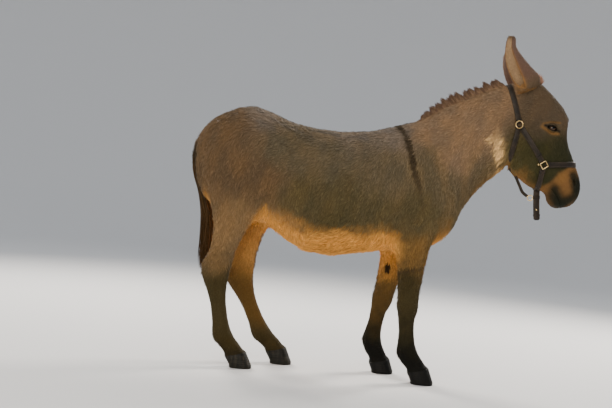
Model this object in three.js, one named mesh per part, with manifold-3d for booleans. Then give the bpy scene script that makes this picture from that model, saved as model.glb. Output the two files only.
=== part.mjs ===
// A standing donkey in a leather head collar, life size, in millimetres.
// +X is forward, towards the muzzle, +Y is the animal's left and +Z is up; the ground is Z = 0.
// The flesh is made of lofts. A loft runs through ribs: each rib has two points on the middle plane of the
// limb or body, such as back and belly or shin and tendon, and a rounded section between them.
import * as THREE from "three";
import { mergeVertices } from "three/addons/utils/BufferGeometryUtils.js";
import Module from "manifold-3d";

const wasm = await Module();
wasm.setup();

// Driving dimensions.
const GAP = 0.5; // clearance between pieces that touch
const ELBOW_CUT = 612; // height where the forelegs are parted from the trunk
const STIFLE_CUT = 690; // height where the hind legs are parted from the trunk
const LEG_SPREAD = 106; // from the middle plane to the middle of each leg
const EYE_RADIUS = 19;
const EYE = { x: 700, y: 82, z: 1163 };
const NOSTRIL = { x: 832, y: 56, z: 942, radius: 10, stretch: [0.8, 1, 1.9] };
const EAR_WALL = 7;
const STRAP_WIDTH = 25;
const STRAP_THICKNESS = 4;
const JAW_STRAP = { deep: 10, wide: 12 }; // section of the turned strap from the throat to the chin
const RING_RADIUS = 16; // of the rings below the ears
const CHIN_RING_RADIUS = 12;
const RING_STANDOFF = 9; // from the strap to the back of a ring
const WIRE = 2.6; // radius of the wire that the rings are bent from
const SQUARE = 32; // outer side of the brass squares on the cheeks
const SQUARE_BAR = 5;
const SQUARE_DEPTH = 4;

// ---------------------------------------------------------------- materials
const finish = (color, roughness, metalness = 0) =>
  new THREE.MeshStandardMaterial({ color, roughness, metalness });
const COAT = finish(0x6f5a45, 0.95);
const DARK_HAIR = finish(0x2b221d, 0.9);
const HOOF = finish(0x3a332c, 0.6);
const EYEBALL = finish(0x140d08, 0.1);
const LEATHER = finish(0x2a2019, 0.55);
const BRASS = finish(0xb98d45, 0.35, 1);

// ---------------------------------------------------------------- lofts
// A rib: its top (or front) and bottom (or back) point as [x, z], its half width, where along it the widest
// point lies, and how pointed the section is above and below that point: 1 is an ellipse, less is squarer.
const rib = (top, bottom, half, widest = 0.5, above = 1, below = 1, y = 0) =>
  [...top, ...bottom, half, widest, above, below, y];

// Rows of numbers, joined by a smooth curve through all of them, with the given number of steps to a span.
function smoothRows(rows, steps) {
  const knots = [0];
  for (let i = 1; i < rows.length; i++) {
    const [a, b] = [rows[i - 1], rows[i]];
    const apart = Math.hypot(a[0] + a[2] - b[0] - b[2], a[1] + a[3] - b[1] - b[3], a[8] - b[8]) / 2;
    knots.push(knots[i - 1] + Math.max(apart, 1));
  }
  const rise = (i, k) => (rows[i + 1][k] - rows[i][k]) / (knots[i + 1] - knots[i]);
  const slope = (i, k) => {
    if (i === 0) return rise(0, k);
    if (i === rows.length - 1) return rise(i - 1, k);
    const [before, after] = [knots[i] - knots[i - 1], knots[i + 1] - knots[i]];
    return (rise(i - 1, k) * after + rise(i, k) * before) / (before + after);
  };
  const made = [];
  for (let i = 0; i < rows.length - 1; i++)
    for (let s = 0; s < steps; s++) {
      const [t, span] = [s / steps, knots[i + 1] - knots[i]];
      const [h1, h2, h3] = [t * t * (3 - 2 * t), t * (1 - t) ** 2, t * t * (t - 1)];
      made.push(rows[i].map((a, k) =>
        a + (rows[i + 1][k] - a) * h1 + span * (h2 * slope(i, k) + h3 * slope(i + 1, k))));
    }
  return [...made, rows[rows.length - 1]];
}

// The same rows grown all round, and at both ends, by a distance.
function grown(rows, by) {
  const centre = (row) => new THREE.Vector2(row[0] + row[2], row[1] + row[3]).multiplyScalar(0.5);
  return rows.map((row, i) => {
    const [tx, tz, bx, bz, half, ...rest] = row;
    const up = new THREE.Vector2(tx - bx, tz - bz).normalize().multiplyScalar(by);
    const next = i === 0 ? rows[1] : rows.at(-2);
    const isEnd = i === 0 || i === rows.length - 1;
    const out = centre(row).sub(centre(next)).setLength(isEnd ? by : 0);
    const [top, bottom] = [[tx + up.x + out.x, tz + up.y + out.y], [bx - up.x + out.x, bz - up.y + out.y]];
    return [...top, ...bottom, half + by, ...rest];
  });
}

// The closed ring of points round one rib.
function ringOf([tx, tz, bx, bz, half, widest, above, below, y], around) {
  const points = [];
  for (let i = 0; i < around; i++) {
    const angle = (2 * Math.PI * i) / around;
    const [c, s] = [Math.cos(angle), Math.sin(angle)];
    const bend = c > 0 ? above : below;
    const along = c > 0 ? widest * (1 - c ** bend) : 1 - (1 - widest) * (1 - (-c) ** bend);
    const side = half * Math.sign(s) * Math.abs(s) ** bend;
    points.push(new THREE.Vector3(tx + (bx - tx) * along, y + side, tz + (bz - tz) * along));
  }
  return points;
}

// Swells or hollows on both sides of a body: each is a middle [x, z], a radius along x and z, and a rise.
// They fade out within this distance of the middle plane.
const SWELL_FADE = 60;
function swell(points, swells) {
  for (const p of points)
    for (const { at, size, rise } of swells) {
      const far = ((p.x - at[0]) / size[0]) ** 2 + ((p.z - at[1]) / size[1]) ** 2;
      const side = Math.sign(p.y) * Math.min(1, Math.abs(p.y) / SWELL_FADE);
      p.y += side * rise * Math.exp(-far);
    }
}

function skinOf(rings) {
  const around = rings[0].length;
  const points = rings.flat();
  const faces = [];
  for (let r = 0; r < rings.length - 1; r++)
    for (let i = 0; i < around; i++) {
      const [a, b] = [r * around + i, r * around + ((i + 1) % around)];
      faces.push(a, b, a + around, b, b + around, a + around);
    }
  const lastStart = (rings.length - 1) * around;
  for (const [ring, start, turn] of [[rings[0], 0, true], [rings.at(-1), lastStart, false]]) {
    const middle = ring.reduce((sum, p) => sum.add(p), new THREE.Vector3()).divideScalar(around);
    points.push(middle);
    for (let i = 0; i < around; i++) {
      const [a, b] = [start + i, start + ((i + 1) % around)];
      faces.push(points.length - 1, turn ? b : a, turn ? a : b);
    }
  }
  return new THREE.BufferGeometry().setFromPoints(points).setIndex(faces);
}

function solid(geometry) {
  geometry.deleteAttribute("normal");
  geometry.deleteAttribute("uv");
  const merged = mergeVertices(geometry, 1e-3);
  const vertProperties = new Float32Array(merged.attributes.position.array);
  const triVerts = new Uint32Array(merged.index.array);
  const made = new wasm.Manifold(new wasm.Mesh({ numProp: 3, vertProperties, triVerts }));
  if (made.volume() > 0) return made;
  for (let i = 0; i < triVerts.length; i += 3)
    [triVerts[i], triVerts[i + 1]] = [triVerts[i + 1], triVerts[i]];
  return new wasm.Manifold(new wasm.Mesh({ numProp: 3, vertProperties, triVerts }));
}

function loft(rows, { around, steps, swells = [], by = 0 }) {
  const rings = grown(smoothRows(rows, steps), by).map((row) => ringOf(row, around));
  rings.forEach((ring) => swell(ring, swells));
  return solid(skinOf(rings));
}

function ball(radius, { x, y, z }, stretch, around) {
  const sphere = new THREE.SphereGeometry(radius, around, Math.ceil(around * 0.6));
  return solid(sphere.scale(...stretch).translate(x, y, z));
}

// A cube larger than the whole model, for cutting away one side of a shape.
const CUTTER = 4000;

// What is left of a solid behind a plane through a point [x, z], whose normal [x, z] points away from it.
function keepBehind(shape, [x, z], [nx, nz]) {
  const normal = new THREE.Vector2(nx, nz).setLength(GAP / 2);
  const box = new THREE.BoxGeometry(CUTTER, CUTTER, CUTTER).translate(CUTTER / 2, 0, 0);
  box.rotateY(-Math.atan2(nz, nx)).translate(x - normal.x, 0, z - normal.y);
  return shape.subtract(solid(box));
}
const partBelow = (shape, z) => keepBehind(shape, [0, z], [0, 1]);
const partAbove = (shape, z) => keepBehind(shape, [0, z], [0, -1]);

// ---------------------------------------------------------------- trunk and neck
const TRUNK = [
  rib([-848, 950], [-846, 870], 40, 0.5),
  rib([-836, 1008], [-833, 795], 96, 0.5, 1, 0.9),
  rib([-805, 1056], [-803, 730], 136, 0.48, 1.05, 0.8),
  rib([-755, 1098], [-750, 690], 166, 0.46, 0.95, 0.75),
  rib([-675, 1136], [-670, 662], 184, 0.44, 1, 0.72),
  rib([-600, 1150], [-590, 650], 190, 0.42, 1, 0.75),
  rib([-520, 1126], [-505, 628], 196, 0.45, 1, 0.85),
  rib([-430, 1092], [-420, 572], 212, 0.5, 1, 0.9),
  rib([-330, 1075], [-330, 527], 230, 0.53, 0.95, 0.9),
  rib([-210, 1071], [-210, 518], 238, 0.54, 0.95, 0.92),
  rib([-90, 1084], [-90, 541], 230, 0.54, 0.98, 0.95),
  rib([10, 1114], [20, 562], 208, 0.54, 1.05, 0.95),
  rib([80, 1140], [110, 574], 190, 0.55, 1.1, 0.9),
  rib([126, 1153], [195, 588], 176, 0.56, 1.1, 0.85),
  rib([164, 1178], [265, 622], 162, 0.56, 1.1, 0.82),
  rib([205, 1208], [318, 682], 146, 0.56, 1.1, 0.85),
  rib([250, 1233], [350, 770], 126, 0.55, 1.1, 0.95),
  rib([310, 1266], [395, 843], 106, 0.54, 1.1, 1),
  rib([385, 1302], [450, 905], 92, 0.53, 1.1, 1),
  rib([460, 1340], [505, 960], 82, 0.52, 1.1, 1),
  rib([512, 1350], [540, 1000], 72, 0.5, 1.1, 1),
  rib([570, 1320], [590, 1050], 50, 0.5, 1.1, 1),
];
const BODY_SWELLS = [
  { at: [-700, 930], size: [120, 130], rise: 10 }, // haunch
  { at: [-556, 1015], size: [48, 42], rise: 12 }, // point of the hip
  { at: [-455, 945], size: [62, 95], rise: -16 }, // hollow of the flank
  { at: [95, 830], size: [95, 150], rise: 12 }, // shoulder and upper arm
  { at: [-45, 850], size: [55, 190], rise: -8 }, // dip behind the shoulder
  { at: [255, 770], size: [60, 60], rise: 10 }, // point of the shoulder
];
const trunkAndNeck = (by = 0) => loft(TRUNK, { around: 22, steps: 1, swells: BODY_SWELLS, by });

// ---------------------------------------------------------------- legs
// Each leg is a chain of joints [x, z]. A station is a place on it, counted in bones from the top, with how
// far the flesh reaches in front of and behind the bone line and to each side.
const FORE_STATIONS = [
  [0, 100, 100, 44], [0.5, 96, 96, 52], [1, 88, 88, 54],
  [1.3, 70, 74, 48], [1.5, 59, 62, 41], [1.76, 51, 52, 35],
  [2, 50, 48, 36], [2.12, 45, 46, 34], [2.3, 36, 42, 28],
  [2.55, 34, 39, 26], [2.82, 37, 44, 28], [2.96, 42, 48, 32], [3.1, 42, 50, 33],
  [3.4, 37, 49, 29], [3.8, 38, 42, 32],
];
const HIND_STATIONS = [
  [0, 150, 155, 58], [0.5, 150, 152, 76], [1, 116, 116, 69],
  [1.15, 96, 98, 61], [1.34, 75, 77, 49], [1.5, 64, 66, 43], [1.68, 57, 62, 38], [1.85, 57, 70, 36],
  [2, 58, 72, 38], [2.14, 48, 63, 36], [2.3, 38, 51, 31],
  [2.5, 33, 42, 27], [2.75, 34, 41, 27], [2.94, 40, 46, 32], [3.08, 42, 45, 33],
  [3.45, 37, 40, 28], [3.8, 38, 42, 32],
];
// The joints of each leg, and the middle of its sole, as [x, z].
const LEGS = {
  foreleg_right: { side: -1, stations: FORE_STATIONS, cut: ELBOW_CUT,
    joints: [[175, 800], [140, 640], [139, 325], [153, 142], [208, 66]], sole: 229 },
  foreleg_left: { side: 1, stations: FORE_STATIONS, cut: ELBOW_CUT,
    joints: [[160, 800], [105, 640], [43, 332], [14, 152], [55, 62]], sole: 72 },
  hindleg_right: { side: -1, stations: HIND_STATIONS, cut: STIFLE_CUT,
    joints: [[-655, 890], [-642, 700], [-700, 400], [-652, 137], [-588, 64]], sole: -562 },
  hindleg_left: { side: 1, stations: HIND_STATIONS, cut: STIFLE_CUT,
    joints: [[-640, 890], [-579, 700], [-605, 374], [-491, 136], [-418, 70]], sole: -392 },
};

// The bone line's point at a place counted in bones, and its direction, turned smoothly at each joint.
function onBone(joints, place) {
  const i = Math.min(Math.floor(place), joints.length - 2);
  const t = place - i;
  const line = (k) => {
    const [a, b] = [joints[Math.max(k, 0)], joints[Math.min(k + 1, joints.length - 1)]];
    return new THREE.Vector2(b[0] - a[0], b[1] - a[1]).normalize();
  };
  const turn = (k) => (k < 0 || k > joints.length - 2 ? line(i) : line(k));
  const direction = t < 0.5
    ? turn(i - 1).lerp(line(i), 0.5 + t).normalize()
    : line(i).lerp(turn(i + 1), t - 0.5).normalize();
  const point = new THREE.Vector2(...joints[i]).lerp(new THREE.Vector2(...joints[i + 1]), t);
  return { point, direction };
}

// Ribs at the coronet, from the foot's joint: [front x, front z, back x, back z, half width].
const HOOF_TOP = [46, 8, -46, -18, 36];
const SUNK_IN_HOOF = [45, 2, -42, -22, 34];
function coronetRib([frontX, frontZ, backX, backZ, half], { side, joints }) {
  const [x, z] = joints.at(-1);
  return rib([x + frontX, z + frontZ], [x + backX, z + backZ], half, 0.5, 0.9, 0.75, side * LEG_SPREAD);
}

// The rows of a leg; the last one is sunk in the top of the hoof.
function legRows(spec) {
  const { side, stations, joints } = spec;
  const rows = stations.map(([place, front, back, half]) => {
    const { point, direction } = onBone(joints, place);
    const ahead = new THREE.Vector2(-direction.y, direction.x);
    return rib([point.x + ahead.x * front, point.y + ahead.y * front],
      [point.x - ahead.x * back, point.y - ahead.y * back], half, 0.5, 0.9, 0.9, side * LEG_SPREAD);
  });
  return [...rows, coronetRib(SUNK_IN_HOOF, spec)];
}
const leg = (spec, by = 0) => loft(legRows(spec), { around: 12, steps: 1, by });

// A hoof: it widens from the coronet, which is higher in front, to the flat sole.
const SOLE = { ahead: 50, behind: 48, half: 42, edge: 12 }; // edge: height where its wall turns upright
function hoofRows(spec) {
  const soleRib = (z) => rib([spec.sole + SOLE.ahead, z], [spec.sole - SOLE.behind, z], SOLE.half,
    0.5, 0.85, 0.65, spec.side * LEG_SPREAD);
  return [coronetRib(HOOF_TOP, spec), soleRib(SOLE.edge), soleRib(0)];
}
const hoof = (spec, by = 0) => loft(hoofRows(spec), { around: 16, steps: 1, by });

// ---------------------------------------------------------------- head
const HEAD = [
  rib([575, 1388], [500, 1335], 30, 0.5),
  rib([612, 1385], [500, 1270], 56, 0.4),
  rib([662, 1355], [507, 1185], 74, 0.33, 0.85, 1.1),
  rib([712, 1309], [514, 1110], 86, 0.3, 0.75, 1.15),
  rib([755, 1263], [522, 1050], 93, 0.28, 0.7, 1.15),
  rib([784, 1215], [534, 1000], 95, 0.27, 0.7, 1.1),
  rib([781, 1168], [552, 966], 92, 0.28, 0.75, 1.1),
  rib([787, 1125], [582, 942], 82, 0.32, 0.85, 1.05),
  rib([803, 1085], [612, 918], 72, 0.36, 0.95, 1.0),
  rib([822, 1048], [642, 900], 64, 0.4, 1.0, 0.95),
  rib([840, 1012], [672, 891], 58, 0.44, 1.0, 0.95),
  rib([856, 975], [696, 887], 55, 0.47, 0.95, 0.95),
  rib([866, 938], [709, 876], 57, 0.45, 0.9, 0.9),
  rib([867, 905], [715, 860], 59, 0.45, 0.85, 0.9),
  rib([860, 874], [723, 842], 55, 0.46, 0.85, 0.9),
  rib([846, 848], [737, 826], 45, 0.48, 0.85, 0.9),
  rib([824, 829], [762, 815], 28, 0.5),
];
const HEAD_SWELLS = [
  { at: [702, 1180], size: [44, 34], rise: 9 }, // rim of the orbit
  { at: [600, 1055], size: [70, 85], rise: 8 }, // cheek
  { at: [735, 1075], size: [50, 40], rise: -5 }, // hollow below the eye
  { at: [640, 1290], size: [40, 40], rise: -4 }, // temple
];
const headLoft = (by = 0) => loft(HEAD, { around: 22, steps: 1, swells: HEAD_SWELLS, by });

// ---------------------------------------------------------------- ears, tail, mane
// The right ear's ribs run from its root to its tip, further out at each. The left one stands a little
// lower and further forward.
const EAR = [
  rib([634, 1352], [545, 1318], 34, 0.5, 1, 1, 56),
  rib([628, 1386], [512, 1350], 37, 0.5, 1, 1, 62),
  rib([585, 1425], [483, 1402], 36, 0.5, 1, 1, 72),
  rib([541, 1465], [467, 1454], 31, 0.5, 1, 1, 81),
  rib([513, 1500], [462, 1496], 23, 0.5, 1, 1, 88),
  rib([506, 1529], [464, 1527], 15, 0.5, 1, 1, 93),
  rib([500, 1549], [470, 1548], 8, 0.5, 1, 1, 96),
];
const EAR_OPENING = { back: 15, out: 17 }; // how far the hollow lies behind and outside the ear's middle
const LEFT_EAR_TIP = { ahead: 42, lower: 12 };

function ear(side) {
  const placed = EAR.map(([tx, tz, bx, bz, half, widest, front, back, y], i) => {
    const t = side > 0 ? i / (EAR.length - 1) : 0;
    const [ahead, lower] = [LEFT_EAR_TIP.ahead * t, LEFT_EAR_TIP.lower * t];
    return [tx + ahead, tz - lower, bx + ahead, bz - lower, half, widest, front, back, side * y];
  });
  const hollow = grown(placed.slice(1, 6), -EAR_WALL).map((row) => {
    const moved = row.map((value, k) => (k === 0 || k === 2 ? value - EAR_OPENING.back : value));
    return [...moved.slice(0, 8), row[8] + side * EAR_OPENING.out];
  });
  return loft(placed, { around: 11, steps: 2 }).subtract(loft(hollow, { around: 9, steps: 1 }));
}

const TAIL = [
  // x, z, half depth, half width
  [-778, 1052, 18, 20], [-812, 1018, 24, 24], [-836, 968, 25, 25], [-844, 912, 24, 25],
  [-841, 855, 23, 24], [-821, 790, 22, 24], [-796, 725, 24, 26], [-775, 665, 32, 34], [-762, 600, 41, 42],
  [-760, 540, 43, 44], [-766, 480, 38, 38], [-771, 430, 26, 28], [-778, 392, 8, 10],
];
const tailRows = TAIL.map(([x, z, depth, half]) => rib([x + depth, z], [x - depth, z], half));
const tail = (by = 0) => loft(tailRows, { around: 12, steps: 1, by });

// The mane stands up along the crest in clumps that lean back and grow longer towards the poll.
const CREST_POINTS = [[126, 1150], [214, 1211], [299, 1259], [385, 1300], [470, 1343], [520, 1360]];
const CREST = new THREE.SplineCurve(CREST_POINTS.map(([x, z]) => new THREE.Vector2(x, z)));
const MANE_SPAN = [0.02, 0.92]; // the part of the crest that it grows on
const MANE_CLUMPS = 15;
// How tall it is at the withers, how much taller towards the poll, and how much of that between clumps.
const MANE_HEIGHT = { least: 10, added: 17, between: 0.6 };
const MANE_DEPTH = 14; // how far its root is sunk
const MANE_LEAN = 0.2; // how far back it leans for its height
const MANE_HALF = { least: 5, added: 5 }; // half its width at the ends, and how much more between
function mane() {
  const rows = [];
  for (let i = 0; i <= MANE_CLUMPS * 2; i++) {
    const t = i / (MANE_CLUMPS * 2);
    const root = CREST.getPointAt(MANE_SPAN[0] + (MANE_SPAN[1] - MANE_SPAN[0]) * t);
    const full = MANE_HEIGHT.least + MANE_HEIGHT.added * Math.min(1, t * 4);
    const tall = full * (i % 2 ? 1 : MANE_HEIGHT.between);
    const half = MANE_HALF.least + MANE_HALF.added * Math.sin(Math.PI * Math.min(t + 0.1, 0.9));
    const tip = [root.x - tall * MANE_LEAN, root.y + tall];
    rows.push(rib(tip, [root.x, root.y - MANE_DEPTH], half, 0.6, 1.2));
  }
  return solid(skinOf(rows.map((row) => ringOf(row, 6))));
}
const FORELOCK = [
  rib([600, 1404], [575, 1370], 15), rib([628, 1413], [605, 1365], 18),
  rib([655, 1404], [628, 1352], 14), rib([668, 1372], [652, 1340], 7),
];

// ---------------------------------------------------------------- head collar
// The head and neck grown by a distance: straps lie on this form.
const fleshGrown = (by) => headLoft(by).add(trunkAndNeck(by));
const underStraps = fleshGrown(GAP);
const overStraps = fleshGrown(STRAP_THICKNESS + GAP);
const clearOfStraps = fleshGrown(STRAP_THICKNESS + 2 * GAP);
const strapLayer = overStraps.subtract(underStraps);

// The band of a shape that runs from one [x, z] point past another, on both sides of the head.
function bandOf(shape, from, towards, width) {
  const along = new THREE.Vector2(towards[0] - from[0], towards[1] - from[1]).normalize();
  const across = [along.y, -along.x];
  const edge = (side) => from.map((value, k) => value + (across[k] * side * width) / 2);
  let band = keepBehind(shape, from, [-along.x, -along.y]);
  band = keepBehind(band, edge(1), across);
  return keepBehind(band, edge(-1), [-across[0], -across[1]]);
}

function onlySide(shape, side) {
  const half = new THREE.BoxGeometry(CUTTER, CUTTER, CUTTER).translate(0, (side * CUTTER) / 2, 0);
  return shape.intersect(solid(half));
}

// Where straps meet, as [x, z], on each side of the head.
const EAR_RING = [562, 1167];
const CHIN_RING = [650, 0, 853];
const CHEEK_SQUARE = [681, 1000];
const THROAT = [530, 973];
const CHIN = [671, 868];
const POLL = [513, 1330];
const NOSE = [825, 1016];

// A point of the straps' outer face and its normal, found from the side.
function onStraps([x, z], side) {
  const caster = new THREE.Raycaster(new THREE.Vector3(x, side * 500, z), new THREE.Vector3(0, -side, 0));
  const hit = caster.intersectObject(new THREE.Mesh(bufferOf(overStraps)))[0];
  return { point: hit.point, normal: hit.face.normal };
}

// Sets a flat fitting, made round the origin and facing +Z, on the straps' outer face, in line with the
// cheek strap.
function fitting(geometry, at, side, lift) {
  const { point, normal } = onStraps(at, side);
  const run = new THREE.Vector3(CHEEK_SQUARE[0] - EAR_RING[0], 0, CHEEK_SQUARE[1] - EAR_RING[1]);
  const across = new THREE.Vector3().crossVectors(normal, run).normalize();
  const along = new THREE.Vector3().crossVectors(across, normal);
  geometry.applyMatrix4(new THREE.Matrix4().makeBasis(along, across, normal));
  geometry.translate(...point.addScaledVector(normal, lift));
  return solid(geometry).subtract(clearOfStraps);
}

const torus = (radius, wire) => new THREE.TorusGeometry(radius, wire, 5, 14);

function squareFrame() {
  const half = SQUARE / 2;
  const corners = (r) => [[r, r], [-r, r], [-r, -r], [r, -r]].map((c) => new THREE.Vector2(...c));
  const outline = (r, Kind) => new Kind(corners(r));
  const shape = outline(half, THREE.Shape);
  shape.holes.push(outline(half - SQUARE_BAR, THREE.Path));
  return new THREE.ExtrudeGeometry(shape, { depth: SQUARE_DEPTH, bevelEnabled: false });
}

// A free strap through points [x, z], clear of the straps that lie on the head. It is deep across its run
// in the middle plane, and wide from side to side.
function freeStrap(points, { deep, wide }) {
  const rows = points.map(([x, z], i) => {
    const [a, b] = [points[Math.max(i - 1, 0)], points[Math.min(i + 1, points.length - 1)]];
    const run = new THREE.Vector2(b[0] - a[0], b[1] - a[1]).setLength(deep / 2);
    return rib([x - run.y, z + run.x], [x + run.y, z - run.x], wide / 2, 0.5, 0.4, 0.4);
  });
  return loft(rows, { around: 8, steps: 1 }).subtract(clearOfStraps);
}
const JAW_STRAP_ROUTE = [[546, 974], [575, 944], [597, 906], [614, 876], [631, 862]];
const STRAP_END = { deep: STRAP_WIDTH, wide: STRAP_THICKNESS };
const STRAP_END_ROUTE = [[677, 893], [680, 835], [684, 795], [689, 757]];

// Straps start a little clear of the ring or square that they hang from.
const STRAP_START = 14;
function stepFrom([x, z], [towardsX, towardsZ], by) {
  const run = new THREE.Vector2(towardsX - x, towardsZ - z).setLength(by);
  return [x + run.x, z + run.y];
}
const strapFrom = (from, towards) =>
  bandOf(strapLayer, stepFrom(from, towards, STRAP_START), towards, STRAP_WIDTH);
function cheekStraps() {
  const end = stepFrom(CHEEK_SQUARE, EAR_RING, STRAP_START);
  const both = keepBehind(strapFrom(EAR_RING, end), end, [end[0] - EAR_RING[0], end[1] - EAR_RING[1]]);
  return both.subtract(bandOf(clearOfStraps, EAR_RING, THROAT, STRAP_WIDTH * 1.5));
}

// ---------------------------------------------------------------- assembly
const model = new THREE.Group();

// The triangles of the largest connected piece, without the slivers that a cut can leave.
function largestPiece(triangles, pointCount) {
  const parent = Array.from({ length: pointCount }, (_, i) => i);
  const root = (i) => {
    while (parent[i] !== i) i = parent[i] = parent[parent[i]];
    return i;
  };
  for (let t = 0; t < triangles.length; t += 3)
    for (const k of [1, 2]) parent[root(triangles[t + k])] = root(triangles[t]);
  const pieces = new Map();
  for (let t = 0; t < triangles.length; t += 3) {
    const key = root(triangles[t]);
    pieces.set(key, [...(pieces.get(key) ?? []), triangles[t], triangles[t + 1], triangles[t + 2]]);
  }
  return [...pieces.values()].reduce((a, b) => (b.length > a.length ? b : a));
}

function bufferOf(shape) {
  const { vertProperties, triVerts, numProp } = shape.getMesh();
  const points = [];
  for (let i = 0; i < vertProperties.length; i += numProp)
    points.push(new THREE.Vector3(vertProperties[i], vertProperties[i + 1], vertProperties[i + 2]));
  const geometry = new THREE.BufferGeometry().setFromPoints(points);
  geometry.setIndex(largestPiece(triVerts, points.length));
  geometry.computeVertexNormals();
  return geometry;
}

function place(name, shape, material) {
  const mesh = new THREE.Mesh(bufferOf(shape), material);
  mesh.name = name;
  model.add(mesh);
}

// Trunk, neck and legs.
let trunk = trunkAndNeck();
const trunkRoom = trunkAndNeck(GAP);
for (const [name, spec] of Object.entries(LEGS)) {
  const whole = leg(spec);
  const shank = partAbove(partBelow(whole, spec.cut), 0);
  trunk = trunk.add(partAbove(whole, spec.cut));
  place(name, shank.subtract(trunkRoom).subtract(hoof(spec, GAP)), COAT);
  place(name.replace("leg", "hoof"), hoof(spec), HOOF);
}
const headRoom = headLoft(GAP);
const NECK_CUT = { at: [225, 970], normal: [0.82, 0.57] };
place("neck", keepBehind(trunk, NECK_CUT.at, NECK_CUT.normal.map((v) => -v)).subtract(headRoom), COAT);
place("trunk", keepBehind(trunk, NECK_CUT.at, NECK_CUT.normal).subtract(tail(GAP)), COAT);
place("tail", tail(), DARK_HAIR);
place("mane", mane().subtract(trunkRoom).subtract(headRoom), DARK_HAIR);

// Head, with what sits on each side of it.
const eyeball = (side, radius) => ball(radius, { ...EYE, y: side * EYE.y }, [1, 1, 1], 12);
const ringAt = (side) => fitting(torus(RING_RADIUS, WIRE), EAR_RING, side, WIRE + RING_STANDOFF);
let head = headLoft();
for (const [side, mark] of [[-1, "right"], [1, "left"]]) {
  const nostril = ball(NOSTRIL.radius, { ...NOSTRIL, y: side * NOSTRIL.y }, NOSTRIL.stretch, 10);
  head = head.subtract(eyeball(side, EYE_RADIUS + GAP)).subtract(nostril);
  place("eye_" + mark, eyeball(side, EYE_RADIUS), EYEBALL);
  place("ear_" + mark, ear(side).subtract(headRoom).subtract(trunkRoom).subtract(overStraps), COAT);
  place("halter_cheek_" + mark, onlySide(cheekStraps(), side), LEATHER);
  place("halter_ear_ring_" + mark, ringAt(side), BRASS);
  place("halter_square_" + mark, fitting(squareFrame(), CHEEK_SQUARE, side, GAP), BRASS);
}
place("head", head, COAT);
place("forelock", loft(FORELOCK, { around: 8, steps: 1 }).subtract(headRoom), DARK_HAIR);

place("halter_crownpiece", strapFrom(EAR_RING, POLL), LEATHER);
place("halter_throatlatch", strapFrom(EAR_RING, THROAT), LEATHER);
place("halter_noseband", strapFrom(CHEEK_SQUARE, NOSE), LEATHER);
place("halter_chin_strap", strapFrom(CHEEK_SQUARE, CHIN), LEATHER);
place("halter_jaw_strap", freeStrap(JAW_STRAP_ROUTE, JAW_STRAP), LEATHER);
place("halter_strap_end", freeStrap(STRAP_END_ROUTE, STRAP_END), LEATHER);
const chinRing = torus(CHIN_RING_RADIUS, WIRE).rotateX(Math.PI / 2).translate(...CHIN_RING);
place("halter_chin_ring", solid(chinRing).subtract(clearOfStraps), BRASS);

// The origin is on the ground, below the middle of the whole animal.
const box = new THREE.Box3().setFromObject(model);
model.position.set(-(box.min.x + box.max.x) / 2, 0, 0);

export default model;
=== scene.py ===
"""A standing donkey in a leather head collar: the looks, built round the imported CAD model. Units are metres.

+X is forward, +Y is the animal's left and +Z is up. "Side view" below means the X-Z plane, and most shapes on
the body are placed in it and made on both sides at once.
"""
import math

import bpy
import numpy as np
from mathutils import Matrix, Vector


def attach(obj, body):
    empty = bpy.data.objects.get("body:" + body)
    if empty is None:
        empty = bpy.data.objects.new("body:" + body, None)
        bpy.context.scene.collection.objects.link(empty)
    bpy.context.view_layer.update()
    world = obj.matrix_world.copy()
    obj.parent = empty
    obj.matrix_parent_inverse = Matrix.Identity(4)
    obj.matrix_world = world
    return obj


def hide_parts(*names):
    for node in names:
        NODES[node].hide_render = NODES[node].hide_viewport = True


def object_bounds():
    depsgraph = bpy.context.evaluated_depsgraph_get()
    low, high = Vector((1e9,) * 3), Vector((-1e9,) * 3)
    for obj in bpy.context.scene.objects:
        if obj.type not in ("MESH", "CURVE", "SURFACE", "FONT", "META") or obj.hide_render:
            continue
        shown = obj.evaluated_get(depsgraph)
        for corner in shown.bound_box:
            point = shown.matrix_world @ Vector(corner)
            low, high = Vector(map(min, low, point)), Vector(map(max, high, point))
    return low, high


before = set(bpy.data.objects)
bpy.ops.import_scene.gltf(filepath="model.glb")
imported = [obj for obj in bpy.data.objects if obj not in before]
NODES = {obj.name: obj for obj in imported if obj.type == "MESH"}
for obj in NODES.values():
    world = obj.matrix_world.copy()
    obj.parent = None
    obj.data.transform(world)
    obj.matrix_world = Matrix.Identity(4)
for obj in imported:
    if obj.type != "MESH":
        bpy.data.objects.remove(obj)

import openvdb
from mathutils import Matrix, Vector
from mathutils.bvhtree import BVHTree

CAD_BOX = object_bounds()
random = np.random.default_rng(7)

# ---------------------------------------------------------------------------------------------- camera
PHOTO_SIZE = (612, 408)
FOCAL_PIXELS = 1011
GROUND_SLOPE = math.radians(5.3)  # the photo's meadow falls to the right by this much
CAMERA_PLACE = (-0.340, -4.5, 0.734)


def make_camera():
    """Level and square to the animal's right side, rolled by the slope that the photo's ground has."""
    data = bpy.data.cameras.new("camera")
    data.sensor_width = 36.0
    data.lens = data.sensor_width * FOCAL_PIXELS / PHOTO_SIZE[0]
    camera = bpy.data.objects.new("camera", data)
    bpy.context.scene.collection.objects.link(camera)
    c, s = math.cos(GROUND_SLOPE), math.sin(GROUND_SLOPE)
    turn = Matrix(((c, -s, 0), (0, 0, -1), (s, c, 0)))
    camera.matrix_world = Matrix.Translation(CAMERA_PLACE) @ turn.to_4x4()
    bpy.context.scene.camera = camera


make_camera()


# ---------------------------------------------------------------------------------------------- small helpers
def smooth_step(low, high, value):
    """0 below low, 1 above high, with a soft change between. low may be the greater."""
    t = np.clip((value - low) / (high - low), 0, 1)
    return t * t * (3 - 2 * t)


def bell(distance, width):
    """1 where the distance is 0, falling off softly within about two widths."""
    return np.exp(-0.5 * (distance / width) ** 2)


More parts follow.
